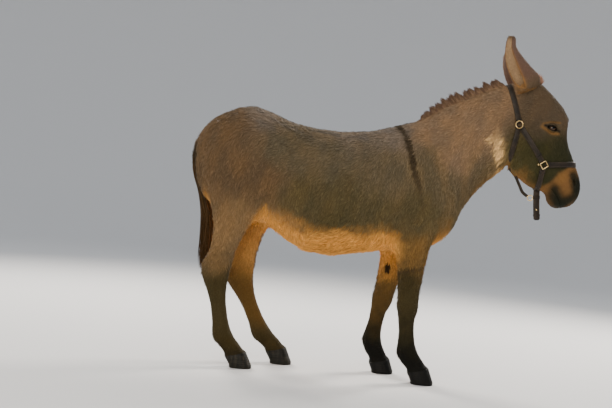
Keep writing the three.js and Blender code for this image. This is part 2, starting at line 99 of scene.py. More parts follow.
def unit(vectors):
    return vectors / np.maximum(np.linalg.norm(vectors, axis=-1, keepdims=True), 1e-12)


def resample(points, count):
    """The smooth curve through a list of points or rows, as count rows evenly spaced by index."""
    points = np.asarray(points, float)
    n = len(points)
    place = np.linspace(0, n - 1, count)
    i = np.minimum(place.astype(int), n - 2)
    t = (place - i)[:, None]
    before, a = points[np.maximum(i - 1, 0)], points[i]
    b, after = points[i + 1], points[np.minimum(i + 2, n - 1)]
    slope_a, slope_b = (b - before) / 2, (after - a) / 2
    return (
        (2 * t**3 - 3 * t**2 + 1) * a + (t**3 - 2 * t**2 + t) * slope_a
        + (3 * t**2 - 2 * t**3) * b + (t**3 - t**2) * slope_b
    )


def curve_distance(points, curve, count=60):
    """Distance in the side view from each point to a smooth curve, and how far along it the nearest place is."""
    line = resample(curve, count)
    flat = points[:, (0, 2)]
    best = np.full(len(flat), 1e9)
    place = np.zeros(len(flat))
    for k in range(count - 1):
        a, run = line[k], line[k + 1] - line[k]
        t = np.clip(((flat - a) @ run) / max(run @ run, 1e-12), 0, 1)
        away = np.linalg.norm(flat - a - t[:, None] * run, axis=1)
        nearer = away < best
        best[nearer] = away[nearer]
        place[nearer] = (k + t[nearer]) / (count - 1)
    return best, place


def mesh_object(name, points, faces, smooth=True):
    """A mesh object from arrays: faces is an array of triangles or of quads."""
    points, faces = np.asarray(points, np.float32), np.asarray(faces, np.int32)
    mesh = bpy.data.meshes.new(name)
    mesh.vertices.add(len(points))
    mesh.vertices.foreach_set("co", points.ravel())
    mesh.loops.add(faces.size)
    mesh.loops.foreach_set("vertex_index", faces.ravel())
    mesh.polygons.add(len(faces))
    mesh.polygons.foreach_set("loop_start", np.arange(len(faces), dtype=np.int32) * faces.shape[1])
    mesh.polygons.foreach_set("use_smooth", np.full(len(faces), smooth))
    mesh.update(calc_edges=True)
    made = bpy.data.objects.new(name, mesh)
    bpy.context.scene.collection.objects.link(made)
    return made


def node_arrays(name):
    """The points and triangles of a CAD node."""
    mesh = NODES[name].data
    mesh.calc_loop_triangles()
    points = np.zeros(len(mesh.vertices) * 3, np.float32)
    mesh.vertices.foreach_get("co", points)
    triangles = np.zeros(len(mesh.loop_triangles) * 3, np.int32)
    mesh.loop_triangles.foreach_get("vertices", triangles)
    return points.reshape(-1, 3), triangles.reshape(-1, 3)


# ---------------------------------------------------------------------------------------------- ears
# Ribs from the root of an ear to its tip: front (x, z), back (x, z), half thickness and y. The left ear points
# a little further forward.
EAR_RIBS = np.array([
    (0.634, 1.340, 0.548, 1.300, 0.036, 0.050),
    (0.630, 1.384, 0.513, 1.348, 0.037, 0.062),
    (0.586, 1.424, 0.484, 1.402, 0.036, 0.072),
    (0.541, 1.465, 0.467, 1.454, 0.031, 0.081),
    (0.513, 1.500, 0.463, 1.496, 0.023, 0.088),
    (0.506, 1.529, 0.465, 1.527, 0.015, 0.093),
    (0.499, 1.547, 0.472, 1.546, 0.007, 0.096),
])
LEFT_EAR_TIP_SHIFT = (0.042, -0.012)
EAR_STEPS = 160


class Ear:
    """One ear as a tapering leaf: a middle line with a frame, for making it and for finding places on it."""

    def __init__(self, side):
        rows = resample(EAR_RIBS, EAR_STEPS)
        t = np.linspace(0, 1, EAR_STEPS)
        shift = np.outer(t, LEFT_EAR_TIP_SHIFT) if side > 0 else np.zeros((EAR_STEPS, 2))
        front, back = rows[:, 0:2] + shift, rows[:, 2:4] + shift
        reach = (front - back) / 2
        depth = np.linalg.norm(reach, axis=1)
        self.side = side
        # Columns: middle x, y, z, depth, half thickness, forward x, forward z.
        self.rows = np.stack([
            (front[:, 0] + back[:, 0]) / 2, side * rows[:, 5], (front[:, 1] + back[:, 1]) / 2,
            depth, rows[:, 4], reach[:, 0] / depth, reach[:, 1] / depth,
        ], 1)

    def at(self, place):
        """The rows at places from root (0) to tip (1)."""
        index = np.clip(place, 0, 1) * (EAR_STEPS - 1)
        k = np.minimum(index.astype(int), EAR_STEPS - 2)
        t = (index - k)[:, None]
        return self.rows[k] * (1 - t) + self.rows[k + 1] * t

    def put(self, place, forward, outward):
        """The points at places from root to tip with two coordinates across, in units of the rim."""
        row = self.at(place)
        x = row[:, 0] + row[:, 5] * forward * row[:, 3]
        z = row[:, 2] + row[:, 6] * forward * row[:, 3]
        return np.stack([x, row[:, 1] + self.side * outward * row[:, 4], z], 1)

    def find(self, points):
        """The place and the two coordinates across of each point."""
        best, place = np.full(len(points), 1e9), np.zeros(len(points))
        for k in range(EAR_STEPS):
            row = self.rows[k]
            x, z = points[:, 0] - row[0], points[:, 2] - row[2]
            along = row[5] * z - row[6] * x
            miss = np.abs(along) + 0.02 * np.hypot(x, z)
            nearer = miss < best
            best[nearer] = miss[nearer]
            step = self.rows[min(k + 1, EAR_STEPS - 1), 0:3] - self.rows[max(k - 1, 0), 0:3]
            span = max(row[5] * step[2] - row[6] * step[0], 1e-4) / 2
            place[nearer] = (k + np.clip(along[nearer] / span, -1, 1)) / (EAR_STEPS - 1)
        row = self.at(place)
        x, z = points[:, 0] - row[:, 0], points[:, 2] - row[:, 2]
        forward = (x * row[:, 5] + z * row[:, 6]) / row[:, 3]
        return np.clip(place, 0, 1), forward, self.side * (points[:, 1] - row[:, 1]) / row[:, 4]

    def solid(self, around=24):
        angle = np.tile(np.linspace(0, 2 * np.pi, around, endpoint=False), EAR_STEPS)
        place = np.repeat(np.linspace(0, 1, EAR_STEPS), around)
        return ring_stack(self.put(place, np.cos(angle), np.sin(angle)).reshape(EAR_STEPS, around, 3))


def ring_stack(rings):
    """Points and triangles of a tube through rings of points, closed by a point in the middle of each end."""
    count, around = rings.shape[:2]
    points = rings.reshape(-1, 3)
    i, j = np.meshgrid(np.arange(count - 1), np.arange(around), indexing="ij")
    a = (i * around + j).ravel()
    b = (i * around + (j + 1) % around).ravel()
    first, last, top = len(points), len(points) + 1, (count - 1) * around
    j = np.arange(around)
    following = (j + 1) % around
    faces = [
        np.stack([a, b, b + around], 1), np.stack([a, b + around, a + around], 1),
        np.stack([following, j, np.full(around, first)], 1),
        np.stack([top + j, top + following, np.full(around, last)], 1),
    ]
    return np.vstack([points, rings[0].mean(0), rings[-1].mean(0)]), np.vstack(faces)


EARS = {-1: Ear(-1), 1: Ear(1)}

# ---------------------------------------------------------------------------------------------- the body as a field
VOXEL = 0.006
BAND = 12  # voxels on each side of a surface
MARGIN = 0.03
LOW = np.array(CAD_BOX[0]) - MARGIN
COUNT = np.ceil((np.array(CAD_BOX[1]) + MARGIN - LOW) / VOXEL).astype(int)
GRID_X = ((LOW[0] + np.arange(COUNT[0]) * VOXEL)[:, None, None]).astype(np.float32)
GRID_Y = ((LOW[1] + np.arange(COUNT[1]) * VOXEL)[None, :, None]).astype(np.float32)
GRID_Z = ((LOW[2] + np.arange(COUNT[2]) * VOXEL)[None, None, :]).astype(np.float32)
FLESH = ["trunk", "neck", "head", "foreleg_right", "foreleg_left", "hindleg_right", "hindleg_left"]
HOOVES = ["forehoof_right", "forehoof_left", "hindhoof_right", "hindhoof_left"]
CUT_GAP = 0.0012
CREASE = 0.034  # radius that the creases between body and limbs are filled to
TAIL_BLEND, EAR_BLEND = 0.012, 0.010  # how softly these join the body
EAR_COAT = 0.0015  # how deep an ear's skin lies below the tips of its coat


def level_set(points, corner, voxel, count, band, **faces):
    """Signed distance to a closed mesh on a grid from a corner, in voxels, no further than the band."""
    faces = {kind: corners.astype(np.uint32) for kind, corners in faces.items()}
    shape = openvdb.FloatGrid.createLevelSetFromPolygons(
        ((points - corner) / voxel).astype(np.float32), halfWidth=band, **faces
    )
    values = np.zeros(count, np.float32)
    shape.copyToArray(values)
    return values


def field_of(points, **faces):
    """Signed distance to a closed mesh on the body's grid, in metres."""
    return level_set(points, LOW, VOXEL, COUNT, BAND, **faces) * VOXEL


def node_field(name):
    points, triangles = node_arrays(name)
    return field_of(points, triangles=triangles)


def surface_of(field):
    grid = openvdb.FloatGrid(float(BAND * VOXEL))
    grid.copyFromArray(field.astype(np.float32))
    points, quads = grid.convertToQuads(0.0)
    return points * VOXEL + LOW, quads


def redistanced(field):
    """The same surface with true distances again."""
    points, quads = surface_of(field)
    return field_of(points, quads=quads)


def blurred(values, sigma):
    """Gaussian blur of the grid, sigma in voxels."""
    reach = int(math.ceil(2.5 * sigma))
    weights = bell(np.arange(-reach, reach + 1), sigma)
    weights /= weights.sum()
    for axis in range(3):
        padded = np.pad(values, [(reach, reach) if a == axis else (0, 0) for a in range(3)], mode="edge")
        length = values.shape[axis]
        out = np.zeros_like(values)
        for k, weight in enumerate(weights.astype(np.float32)):
            out += weight * np.take(padded, range(k, k + length), axis=axis)
        values = out
    return values


def blend_union(a, b, reach):
    """Union of two fields with a soft join of the given reach."""
    h = np.clip(0.5 + 0.5 * (b - a) / reach, 0, 1)
    return b + (a - b) * h - reach * h * (1 - h)


# Muscle and bone that show on the body and legs: a curve in the side view, height in metres, width, and the
# sides it is on (0 both, -1 right, 1 left).
RELIEF = [
    ([(0.10, 1.08), (0.17, 0.95), (0.245, 0.82)], 0.006, 0.028, 0),  # spine of the shoulder blade
    ([(0.20, 1.07), (0.27, 0.93), (0.31, 0.82)], -0.007, 0.024, 0),  # hollow in front of the shoulder
    ([(0.02, 1.02), (0.05, 0.86), (0.08, 0.70)], -0.007, 0.026, 0),  # hollow behind the shoulder
    ([(0.12, 0.84), (0.16, 0.74)], 0.009, 0.050, 0),  # muscle above the elbow
    ([(0.09, 0.67), (0.10, 0.65)], 0.010, 0.024, 0),  # elbow
    ([(0.30, 0.82), (0.30, 0.78)], 0.008, 0.040, 0),  # point of the shoulder
    ([(-0.36, 0.95), (-0.38, 0.90)], -0.011, 0.055, 0),  # flank hollow
    ([(-0.43, 1.03), (-0.44, 0.99)], 0.010, 0.034, 0),  # point of the hip
    ([(-0.36, 0.70), (-0.42, 0.79), (-0.45, 0.88)], 0.008, 0.024, 0),  # fold of the flank
    ([(-0.45, 0.76), (-0.46, 0.70)], 0.009, 0.036, 0),  # stifle
    ([(-0.70, 1.00), (-0.695, 0.86), (-0.64, 0.72)], -0.006, 0.016, 0),  # groove of the haunch
    ([(-0.60, 0.98), (-0.58, 0.86)], 0.006, 0.060, 0),  # haunch muscle
    ([(0.50, 1.00), (0.42, 0.92), (0.34, 0.84)], -0.007, 0.016, 0),  # jugular groove
    ([(0.46, 1.20), (0.36, 1.10), (0.24, 1.04)], 0.005, 0.040, 0),  # muscle along the neck
    ([(0.38, 1.05), (0.30, 0.98)], -0.004, 0.030, 0),
    ([(-0.25, 1.06), (0.02, 1.04)], 0.004, 0.030, 0),  # loin muscle
]


def relief_on(points, strokes):
    """Height of a list of strokes at points: (curve, height, width, side)."""
    height = np.zeros(len(points))
    for curve, tall, width, side in strokes:
        away, _ = curve_distance(points, curve, 24)
        this = tall * bell(away, width)
        if side:
            this *= smooth_step(-0.02, 0.02, side * points[:, 1])
        height += this
    return height


def ribs(x, z):
    """The faint waves of the ribs, on the side view."""
    inside = smooth_step(-0.36, -0.22, x) * smooth_step(0.06, -0.04, x)
    inside = inside * smooth_step(0.62, 0.72, z) * smooth_step(1.02, 0.9, z)
    return 0.0016 * inside * np.sin((x + 0.35 * (z - 0.8)) * 2 * math.pi / 0.052)


def body_relief():
    x, z = np.meshgrid(GRID_X.ravel(), GRID_Z.ravel(), indexing="ij")
    flat = np.stack([x.ravel(), 0 * x.ravel(), z.ravel()], 1)
    height = relief_on(flat, RELIEF).reshape(x.shape) + ribs(x, z)
    side = smooth_step(0.03, 0.09, np.abs(GRID_Y))
    return height[:, None, :].astype(np.float32) * side


def coat_depth():
    """How deep the skin lies below the tips of the coat."""
    depth = 0.0062 * np.ones(COUNT, np.float32)
    depth += (0.0050 - depth) * smooth_step(0.20, 0.45, GRID_X) * smooth_step(0.7, 0.85, GRID_Z)
    depth += (0.0026 - depth) * smooth_step(0.50, 0.60, GRID_X) * smooth_step(0.8, 0.9, GRID_Z)
    depth += (0.0016 - depth) * smooth_step(0.68, 0.76, GRID_X) * smooth_step(1.02, 0.94, GRID_Z) * (GRID_Z > 0.7)
    depth += (0.0028 - depth) * smooth_step(0.62, 0.46, GRID_Z)
    depth += (0.0016 - depth) * smooth_step(0.30, 0.15, GRID_Z)
    depth += 0.004 * smooth_step(0.045, 0.030, GRID_Z)
    return depth


def body_field():
    body = None
    for name in FLESH + HOOVES:
        part = node_field(name) - CUT_GAP
        body = part if body is None else np.minimum(body, part)
    body = redistanced(body)
    closed = redistanced(body - CREASE) + CREASE
    head = smooth_step(0.50, 0.57, GRID_X) * smooth_step(0.75, 0.82, GRID_Z)
    leg = smooth_step(0.50, 0.40, GRID_Z) * np.ones_like(GRID_X)
    keep = np.maximum(head, leg)
    body = body * keep + closed * (1 - keep)
    body = blurred(body, 0.9) * keep + blurred(body, 2.2) * (1 - keep)
    field = body - body_relief() + CUT_GAP + coat_depth()
    tail = blurred(node_field("tail"), 0.8) + 0.006 + 0.05 * smooth_step(0.92, 0.55, GRID_Z)
    field = blend_union(field, tail, TAIL_BLEND)
    for ear in EARS.values():
        points, triangles = ear.solid()
        field = blend_union(field, field_of(points, triangles=triangles) + EAR_COAT, EAR_BLEND)
    return field


# ---------------------------------------------------------------------------------------------- the skin as a mesh
def outward_triangles(points, quads):
    """The triangles of a closed mesh of quads, turned to face outward."""
    triangles = np.vstack([quads[:, (0, 1, 2)], quads[:, (0, 2, 3)]]).astype(np.int64)
    a, b, c = (points[triangles[:, k]] - points.mean(0) for k in range(3))
    outward = np.einsum("ij,ij->i", a, np.cross(b, c)).sum() > 0
    return triangles if outward else triangles[:, ::-1]


def refined(points, triangles, wanted, passes):
    """Splits each edge longer than wanted(its middle), so that neighbours still share their corners."""
    for _ in range(passes):
        edges = np.sort(triangles[:, [[0, 1], [1, 2], [2, 0]]].reshape(-1, 2), axis=1)
        key, back = np.unique(edges[:, 0] * np.int64(len(points)) + edges[:, 1], return_inverse=True)
        a, b = points[key // len(points)], points[key % len(points)]
        middle = (a + b) / 2
        split = np.linalg.norm(a - b, axis=1) > wanted(middle)
        number = np.full(len(key), -1)
        number[split] = len(points) + np.arange(split.sum())
        m = number[back].reshape(-1, 3)
        points = np.vstack([points, middle[split]])
        count = (m >= 0).sum(1)
        turn = np.zeros(len(m), int)
        turn[count == 1] = np.argmax(m[count == 1] >= 0, axis=1)
        turn[count == 2] = (np.argmax(m[count == 2] < 0, axis=1) + 1) % 3
        order = (np.arange(3) + turn[:, None]) % 3
        t, m = np.take_along_axis(triangles, order, 1), np.take_along_axis(m, order, 1)
        (a, b, c), (ab, bc, ca) = t.T, m.T
        one, two, three = count == 1, count == 2, count == 3
        triangles = np.vstack([
            t[count == 0],
            np.stack([a, ab, c], 1)[one], np.stack([ab, b, c], 1)[one],
            np.stack([ab, b, bc], 1)[two], np.stack([a, ab, bc], 1)[two], np.stack([a, bc, c], 1)[two],
            np.stack([a, ab, ca], 1)[three], np.stack([ab, b, bc], 1)[three],
            np.stack([ca, bc, c], 1)[three], np.stack([ab, bc, ca], 1)[three],
        ])
    return points, triangles


def mesh_edges(triangles):
    edges = np.sort(triangles[:, [[0, 1], [1, 2], [2, 0]]].reshape(-1, 2), axis=1)
    return np.unique(edges, axis=0)


def smoothed(points, edges, amount, rounds):
    """Moves each point towards the mean of its neighbours and most of the way back, to keep the volume."""
    a, b = edges.T
    count = np.bincount(a, minlength=len(points)) + np.bincount(b, minlength=len(points))
    for r in range(rounds):
        mean = np.stack([
            np.bincount(a, points[b, k], len(points)) + np.bincount(b, points[a, k], len(points)) for k in range(3)
        ], 1) / count[:, None]
        factor = 0.5 if r % 2 == 0 else -0.52
        points = points + (mean - points) * (factor * amount)[:, None]
    return points


def point_normals(points, triangles):
    p = points[triangles]
    face = np.cross(p[:, 1] - p[:, 0], p[:, 2] - p[:, 0])
    total = np.stack([
        sum(np.bincount(triangles[:, c], face[:, k], len(points)) for c in range(3)) for k in range(3)
    ], 1)
    return unit(total)


EYE = np.array((0.700, 0.081, 1.163))
EYE_RADIUS = 0.019
EYE_MIDDLE = EYE[1] - 0.004  # how far out the middle of the eyeball lies
LID = 0.0032  # thickness of a lid
# The opening between the lids in the side view, from the eye's middle: rear corner, front corner, and how far the
# upper and lower lids bow from the line between the corners.
EYE_CORNERS = np.array([(-0.0185, 0.0035), (0.0170, -0.0070)])
UPPER_BOW, LOWER_BOW = 0.0108, 0.0065
NOSTRIL = np.array((0.832, 0.056, 0.942))
NOSTRIL_LONG, NOSTRIL_WIDE = 0.016, 0.0062
MOUTH = [(0.786, 0.812), (0.776, 0.834), (0.762, 0.862), (0.745, 0.886), (0.732, 0.900)]

# Folds and bones of the head.
HEAD_RELIEF = [
    ([(0.655, 1.150), (0.690, 1.085), (0.722, 1.030)], 0.0035, 0.008, 0),  # crest of the face
    ([(0.665, 1.110), (0.700, 1.040)], -0.0025, 0.010, 0),
    ([(0.552, 1.200), (0.545, 1.100), (0.570, 1.010)], -0.005, 0.010, 0),  # behind the jaw
    ([(0.575, 1.150), (0.585, 1.060), (0.625, 0.985)], 0.0035, 0.016, 0),  # cheek muscle
    ([(0.664, 1.218), (0.678, 1.226)], -0.0055, 0.014, 0),  # hollow of the temple
    ([(0.660, 1.190), (0.688, 1.199), (0.722, 1.196), (0.738, 1.180)], 0.0045, 0.0065, 0),  # brow
    ([(0.676, 1.188), (0.700, 1.190), (0.724, 1.184)], -0.0022, 0.0028, 0),  # fold above the upper lid
    ([(0.672, 1.155), (0.696, 1.136), (0.722, 1.138)], -0.0018, 0.0028, 0),  # fold below the lower lid
    ([(0.668, 1.147), (0.694, 1.126), (0.724, 1.128)], 0.0016, 0.0040, 0),
    ([(0.745, 1.150), (0.778, 1.060), (0.800, 1.000)], 0.0020, 0.006, 0),  # edge of the nasal bone
    ([(0.735, 1.110), (0.768, 1.020)], -0.0025, 0.012, 0),
    ([(0.822, 0.985), (0.812, 0.965), (0.812, 0.940), (0.820, 0.922)], -0.0028, 0.005, 0),  # behind the nostril
    ([(0.800, 0.960), (0.796, 0.930), (0.806, 0.905)], 0.0020, 0.007, 0),
    ([(0.788, 0.850), (0.772, 0.880), (0.752, 0.905)], 0.0022, 0.006, 0),  # upper lip
    ([(0.765, 0.838), (0.748, 0.868), (0.730, 0.888)], 0.0022, 0.006, 0),  # lower lip
    ([(0.722, 0.900), (0.716, 0.880), (0.722, 0.862)], -0.0020, 0.005, 0),  # behind the corner of the mouth
    ([(0.700, 1.000), (0.716, 1.050), (0.708, 1.105)], 0.0011, 0.0022, 0),  # vein of the face
    ([(0.745, 0.965), (0.775, 0.935)], -0.0012, 0.003, 0),
    ([(0.755, 0.985), (0.785, 0.955)], -0.0010, 0.003, 0),
]


# The joints of each leg in the side view: elbow or stifle, knee or hock, fetlock and coronet.
LEG_JOINTS = {
    (-1, "fore"): [(0.140, 0.640), (0.139, 0.325), (0.153, 0.142), (0.208, 0.066)],
    (1, "fore"): [(0.105, 0.640), (0.043, 0.332), (0.014, 0.152), (0.055, 0.062)],
    (-1, "hind"): [(-0.642, 0.700), (-0.700, 0.400), (-0.652, 0.137), (-0.588, 0.064)],
    (1, "hind"): [(-0.579, 0.700), (-0.605, 0.374), (-0.491, 0.136), (-0.418, 0.070)],
}
CORONET_SLOPE = 0.28  # the top of a hoof rises towards its front


def leg_relief():
    """Bones, tendons and hollows of the four legs, as strokes in the side view."""
    strokes = []
    for (side, kind), joints in LEG_JOINTS.items():
        top, knee, fetlock, coronet = (np.array(j) for j in joints)
        down = unit(fetlock - knee)
        back = np.array((down[1], -down[0]))
        slope = unit(coronet - fetlock)
        rear = np.array((slope[1], -slope[0]))
        thigh = unit(knee - top)

        def stroke(places, tall, wide):
            strokes.append((places, tall, wide, side))

        stroke([knee + down * 0.04 + back * 0.006, fetlock - down * 0.04 + back * 0.006], -0.0042, 0.0050)
        stroke([knee + down * 0.05 + back * 0.021, fetlock - down * 0.04 + back * 0.020], -0.0022, 0.0035)
        stroke([fetlock + back * 0.022 - down * 0.004, fetlock + back * 0.022 + down * 0.008], 0.0050, 0.0100)
        stroke([fetlock - back * 0.020, fetlock - back * 0.018 + down * 0.01], 0.0026, 0.0120)
        stroke([fetlock + slope * 0.030 + rear * 0.012, coronet - slope * 0.018 + rear * 0.014], -0.0040, 0.0085)
        stroke([coronet + (0.046, 0.010), coronet + (-0.046, -0.016)], 0.0030, 0.0060)
        if kind == "fore":
            stroke([knee - back * 0.020 - down * 0.010, knee - back * 0.020 + down * 0.012], 0.0045, 0.0160)
            stroke([knee + back * 0.032 - down * 0.018, knee + back * 0.030 - down * 0.004], 0.0055, 0.0090)
            stroke([knee + down * 0.030 - back * 0.02, knee + down * 0.030 + back * 0.02], -0.0022, 0.0060)
            stroke([knee - thigh * 0.20 + back * 0.004, knee - thigh * 0.06 + back * 0.004], -0.0045, 0.0075)
            stroke([knee - thigh * 0.22 - back * 0.022, knee - thigh * 0.12 - back * 0.020], 0.0040, 0.0160)
        else:
            stroke([knee + back * 0.040 - down * 0.050, knee + back * 0.042 - down * 0.030], 0.0065, 0.0110)
            stroke([knee + back * 0.018 - down * 0.055, top * 0.35 + knee * 0.65 + back * 0.020], -0.0080, 0.0095)
            stroke([knee - back * 0.020 - down * 0.005, knee - back * 0.018 + down * 0.022], 0.0035, 0.0150)
            stroke([knee + back * 0.004 - down * 0.02, knee + back * 0.006 + down * 0.02], 0.0030, 0.0110)
            stroke([knee - thigh * 0.22 - back * 0.012, knee - thigh * 0.12 - back * 0.010], 0.0045, 0.0200)
    return strokes


CHESTNUT = (0.054, 0.484)


def chestnut(points, normals):
    """The horny oval inside the left forearm."""
    away = np.hypot((points[:, 0] - CHESTNUT[0]) / 0.013, (points[:, 2] - CHESTNUT[1]) / 0.020)
    return smooth_step(1.25, 0.8, away) * (points[:, 1] > 0) * smooth_step(-0.2, -0.5, normals[:, 1])


def side_spot(points, centre):
    """Distance in the side view from a place that is on both sides of the head."""
    return np.hypot(points[:, 0] - centre[0], points[:, 2] - centre[2])


def eye_opening(points):
    """Distance in the side view to the edge of the opening between the lids, less than 0 inside it."""
    rear, front = EYE_CORNERS
    run = front - rear
    length = np.linalg.norm(run)
    along = run / length
    off = points[:, (0, 2)] - EYE[[0, 2]] - (rear + front) / 2
    u = off @ along
    v = off @ np.array([-along[1], along[0]])
    distance = []
    for bow, sign in ((UPPER_BOW, 1), (LOWER_BOW, -1)):
        radius = (bow**2 + (length / 2) ** 2) / (2 * bow)
        distance.append(np.hypot(u, sign * v - (bow - radius)) - radius)
    return np.maximum(*distance)


def shaped_eyes(points):
    """Lids over the eyeball and the opening between them. Each side of the head is a height above the side view."""
    near = (side_spot(points, EYE) < 0.036) & (np.abs(points[:, 1]) > 0.035)
    p = points[near]
    tall = np.abs(p[:, 1])
    away = side_spot(p, EYE)
    reach = EYE_RADIUS + LID
    dome = EYE_MIDDLE + np.sqrt(np.maximum(reach**2 - away**2, 0))
    soft = 0.004
    h = np.clip(0.5 + 0.5 * (dome - tall) / soft, 0, 1)
    tall = tall + (dome - tall) * h + soft * h * (1 - h) * 0.5
    edge = eye_opening(p)
    tall += 0.0009 * bell(edge - 0.0016, 0.0012)
    ball = EYE_MIDDLE + np.sqrt(np.maximum(EYE_RADIUS**2 - away**2, 0))
    hole = smooth_step(0.0004, -0.0010, edge)
    tall += (ball - 0.006 - tall) * hole
    points[near, 1] = np.sign(p[:, 1]) * tall
    return points


def nostril_place(points, normals, side):
    """The two coordinates of points along and across a nostril, and its inward direction."""
    centre = NOSTRIL * (1, side, 1)
    nearest = np.argmin(np.linalg.norm(points - centre, axis=1))
    out = normals[nearest]
    long = unit(np.cross(np.cross(out, (0.30, 0.10 * side, -0.95)), out))
    wide = np.cross(out, long) * side
    off = points - points[nearest]
    return off @ long, off @ wide, -out, np.linalg.norm(off, axis=1)


def shaped_nostrils(points, normals):
    for side in (-1, 1):
        along, across, inward, away = nostril_place(points, normals, side)
        bend = across - 0.35 * along**2 / NOSTRIL_LONG
        taper = 1 - 0.35 * along / NOSTRIL_LONG
        r = np.hypot(along / NOSTRIL_LONG, bend / (NOSTRIL_WIDE * np.clip(taper, 0.3, 1.5)))
        near = away < 0.045
        depth = 0.013 * smooth_step(1.05, 0.45, r) - 0.0022 * bell(r - 1.45, 0.25)
        points[near] += inward * depth[near, None]
    return points


EAR_WALL = 0.17  # thickness of an ear's wall, as a share of its radius


def ear_open(place):
    """Where the opening faces, from straight ahead towards outward, and half its width, as angles."""
    spots = (0, 0.10, 0.20, 0.43, 0.80, 1)
    front = np.interp(place, spots, (111, 111, 109, 102, 100, 100))
    rear = np.interp(place, spots, (115, 142, 160, 177, 182, 182))
    facing, wide = (front + rear) / 2, (rear - front) / 2
    return np.radians(facing), np.radians(wide)


def shaped_ears(points):
    """Rounds each ear to its own shape and folds its open side in, so that it becomes a deep leaf."""
    for side, ear in EARS.items():
        near = np.where((points[:, 2] > 1.30) & (side * points[:, 1] > 0.02) & (points[:, 0] < 0.66))[0]
        place, forward, outward = ear.find(points[near])
        own = (np.hypot(forward, outward) < 1.35) & (place > 0.01)
        near, place, forward, outward = near[own], place[own], forward[own], outward[own]
        radius = np.hypot(forward, outward)
        angle = np.arctan2(outward, forward)
        firm = smooth_step(0.12, 0.30, place) * smooth_step(0.99, 0.95, place)
        radius += (0.97 - radius) * firm
        facing, wide = ear_open(place)
        turn = (angle - facing + np.pi) % (2 * np.pi) - np.pi
        inside = np.abs(turn) < wide
        folded = np.pi - (np.pi - wide) * np.abs(turn) / wide
        inner = facing + np.sign(turn) * folded
        rim = smooth_step(1.0, 0.86, np.abs(turn) / wide)
        inner_radius = radius * (1 - EAR_WALL * rim * (1 + 0.8 * smooth_step(0.7, 1.0, place)))
        open_here = smooth_step(0.02, 0.26, place) * smooth_step(0.985, 0.90, place)
        x, y = radius * np.cos(angle), radius * np.sin(angle)
        deep = inside * open_here
        x += (inner_radius * np.cos(inner) - x) * deep
        y += (inner_radius * np.sin(inner) - y) * deep
        points[near] = ear.put(place, x, y)
    return points


def wanted_edge(points):
    """How long the skin's edges may be: shortest at the eyes, nostrils and mouth."""
    wanted = np.full(len(points), 0.02)
    wanted[points[:, 2] < 0.56] = 0.0088
    wanted[(points[:, 0] > 0.50) & (points[:, 2] > 0.80)] = 0.0052
    away = side_spot(points, EYE)
    wanted[away < 0.046] = 0.0024
    wanted[away < 0.027] = 0.0014
    muzzle = (points[:, 0] > 0.70) & (points[:, 2] < 0.99) & (points[:, 2] > 0.78)
    wanted[muzzle] = 0.0044
    lips = np.where(muzzle)[0]
    wanted[lips[curve_distance(points[lips], MOUTH, 30)[0] < 0.012]] = 0.0030
    wanted[(side_spot(points, NOSTRIL) < 0.030) & muzzle] = 0.0020
    return wanted


def make_skin():
    points, quads = surface_of(body_field())
    points, triangles = refined(points, outward_triangles(points, quads), wanted_edge, 4)
    edges = mesh_edges(triangles)
    head = smooth_step(0.48, 0.54, points[:, 0]) * smooth_step(0.78, 0.84, points[:, 2])
    points = smoothed(points, edges, np.maximum(head, 0.35), 10)
    normals = point_normals(points, triangles)
    on_head = np.where((points[:, 0] > 0.50) & (points[:, 2] > 0.80) & (points[:, 2] < 1.32))[0]
    points[on_head] += normals[on_head] * relief_on(points[on_head], HEAD_RELIEF)[:, None]
    on_legs = np.where(points[:, 2] < 0.62)[0]
    points[on_legs] += normals[on_legs] * relief_on(points[on_legs], leg_relief())[:, None]
    points += normals * (0.0030 * chestnut(points, normals))[:, None]
    groove, _ = curve_distance(points[on_head], MOUTH, 40)
    cut = -0.0045 * bell(groove, 0.0016)
    points[on_head] += normals[on_head] * cut[:, None]
    points = shaped_nostrils(points, normals)
    points = shaped_eyes(points)
    points = shaped_ears(points)
    return points, triangles


# ---------------------------------------------------------------------------------------------- colours
def linear(red, green, blue):
    return (np.array((red, green, blue)) / 255.0) ** 2.2


BACK = linear(125, 112, 99)
FLANK = linear(106, 94, 73)
# The trunk darkens downward from the flank through the barrel to the low barrel: painted shade over the coat's own
# brown.
BARREL = linear(94, 83, 57)
BARREL_LOW_PAINTED_SHADE = linear(82, 74, 50)
RUMP = linear(108, 87, 64)
SHOULDER = linear(111, 96, 71)
# The neck's tint is its own reddish brown, made lighter by painted glare.
NECK_PAINTED_GLARE = linear(147, 119, 91)
FOREHEAD = linear(98, 82, 64)
FACE = linear(58, 57, 33)
NOSE_SIDE = linear(51, 52, 35)
JAW = linear(78, 73, 46)
# The golden belly tint is pale hair with a painted backlit glow in it.
GOLD_PAINTED_GLOW = linear(222, 158, 78)
CREAM = linear(240, 196, 132)
TAN = linear(150, 108, 60)
GASKIN = linear(136, 109, 76)
CANNON = linear(69, 60, 37)
FOREARM = linear(126, 97, 56)
INNER_SHANK = linear(106, 78, 38)
HIND_PASTERN = linear(63, 52, 26)
PASTERN = linear(34, 32, 19)
BLACK = linear(22, 21, 16)
STRIPE = linear(62, 52, 38)
# The underside tint is pale hair with a painted glow from below.
UNDER_PAINTED_GLOW = linear(228, 160, 76)
MEALY = linear(138, 100, 60)
MUZZLE_SKIN = linear(35, 38, 29)
EAR_INSIDE = linear(203, 170, 132)
EAR_BACK = linear(112, 88, 75)
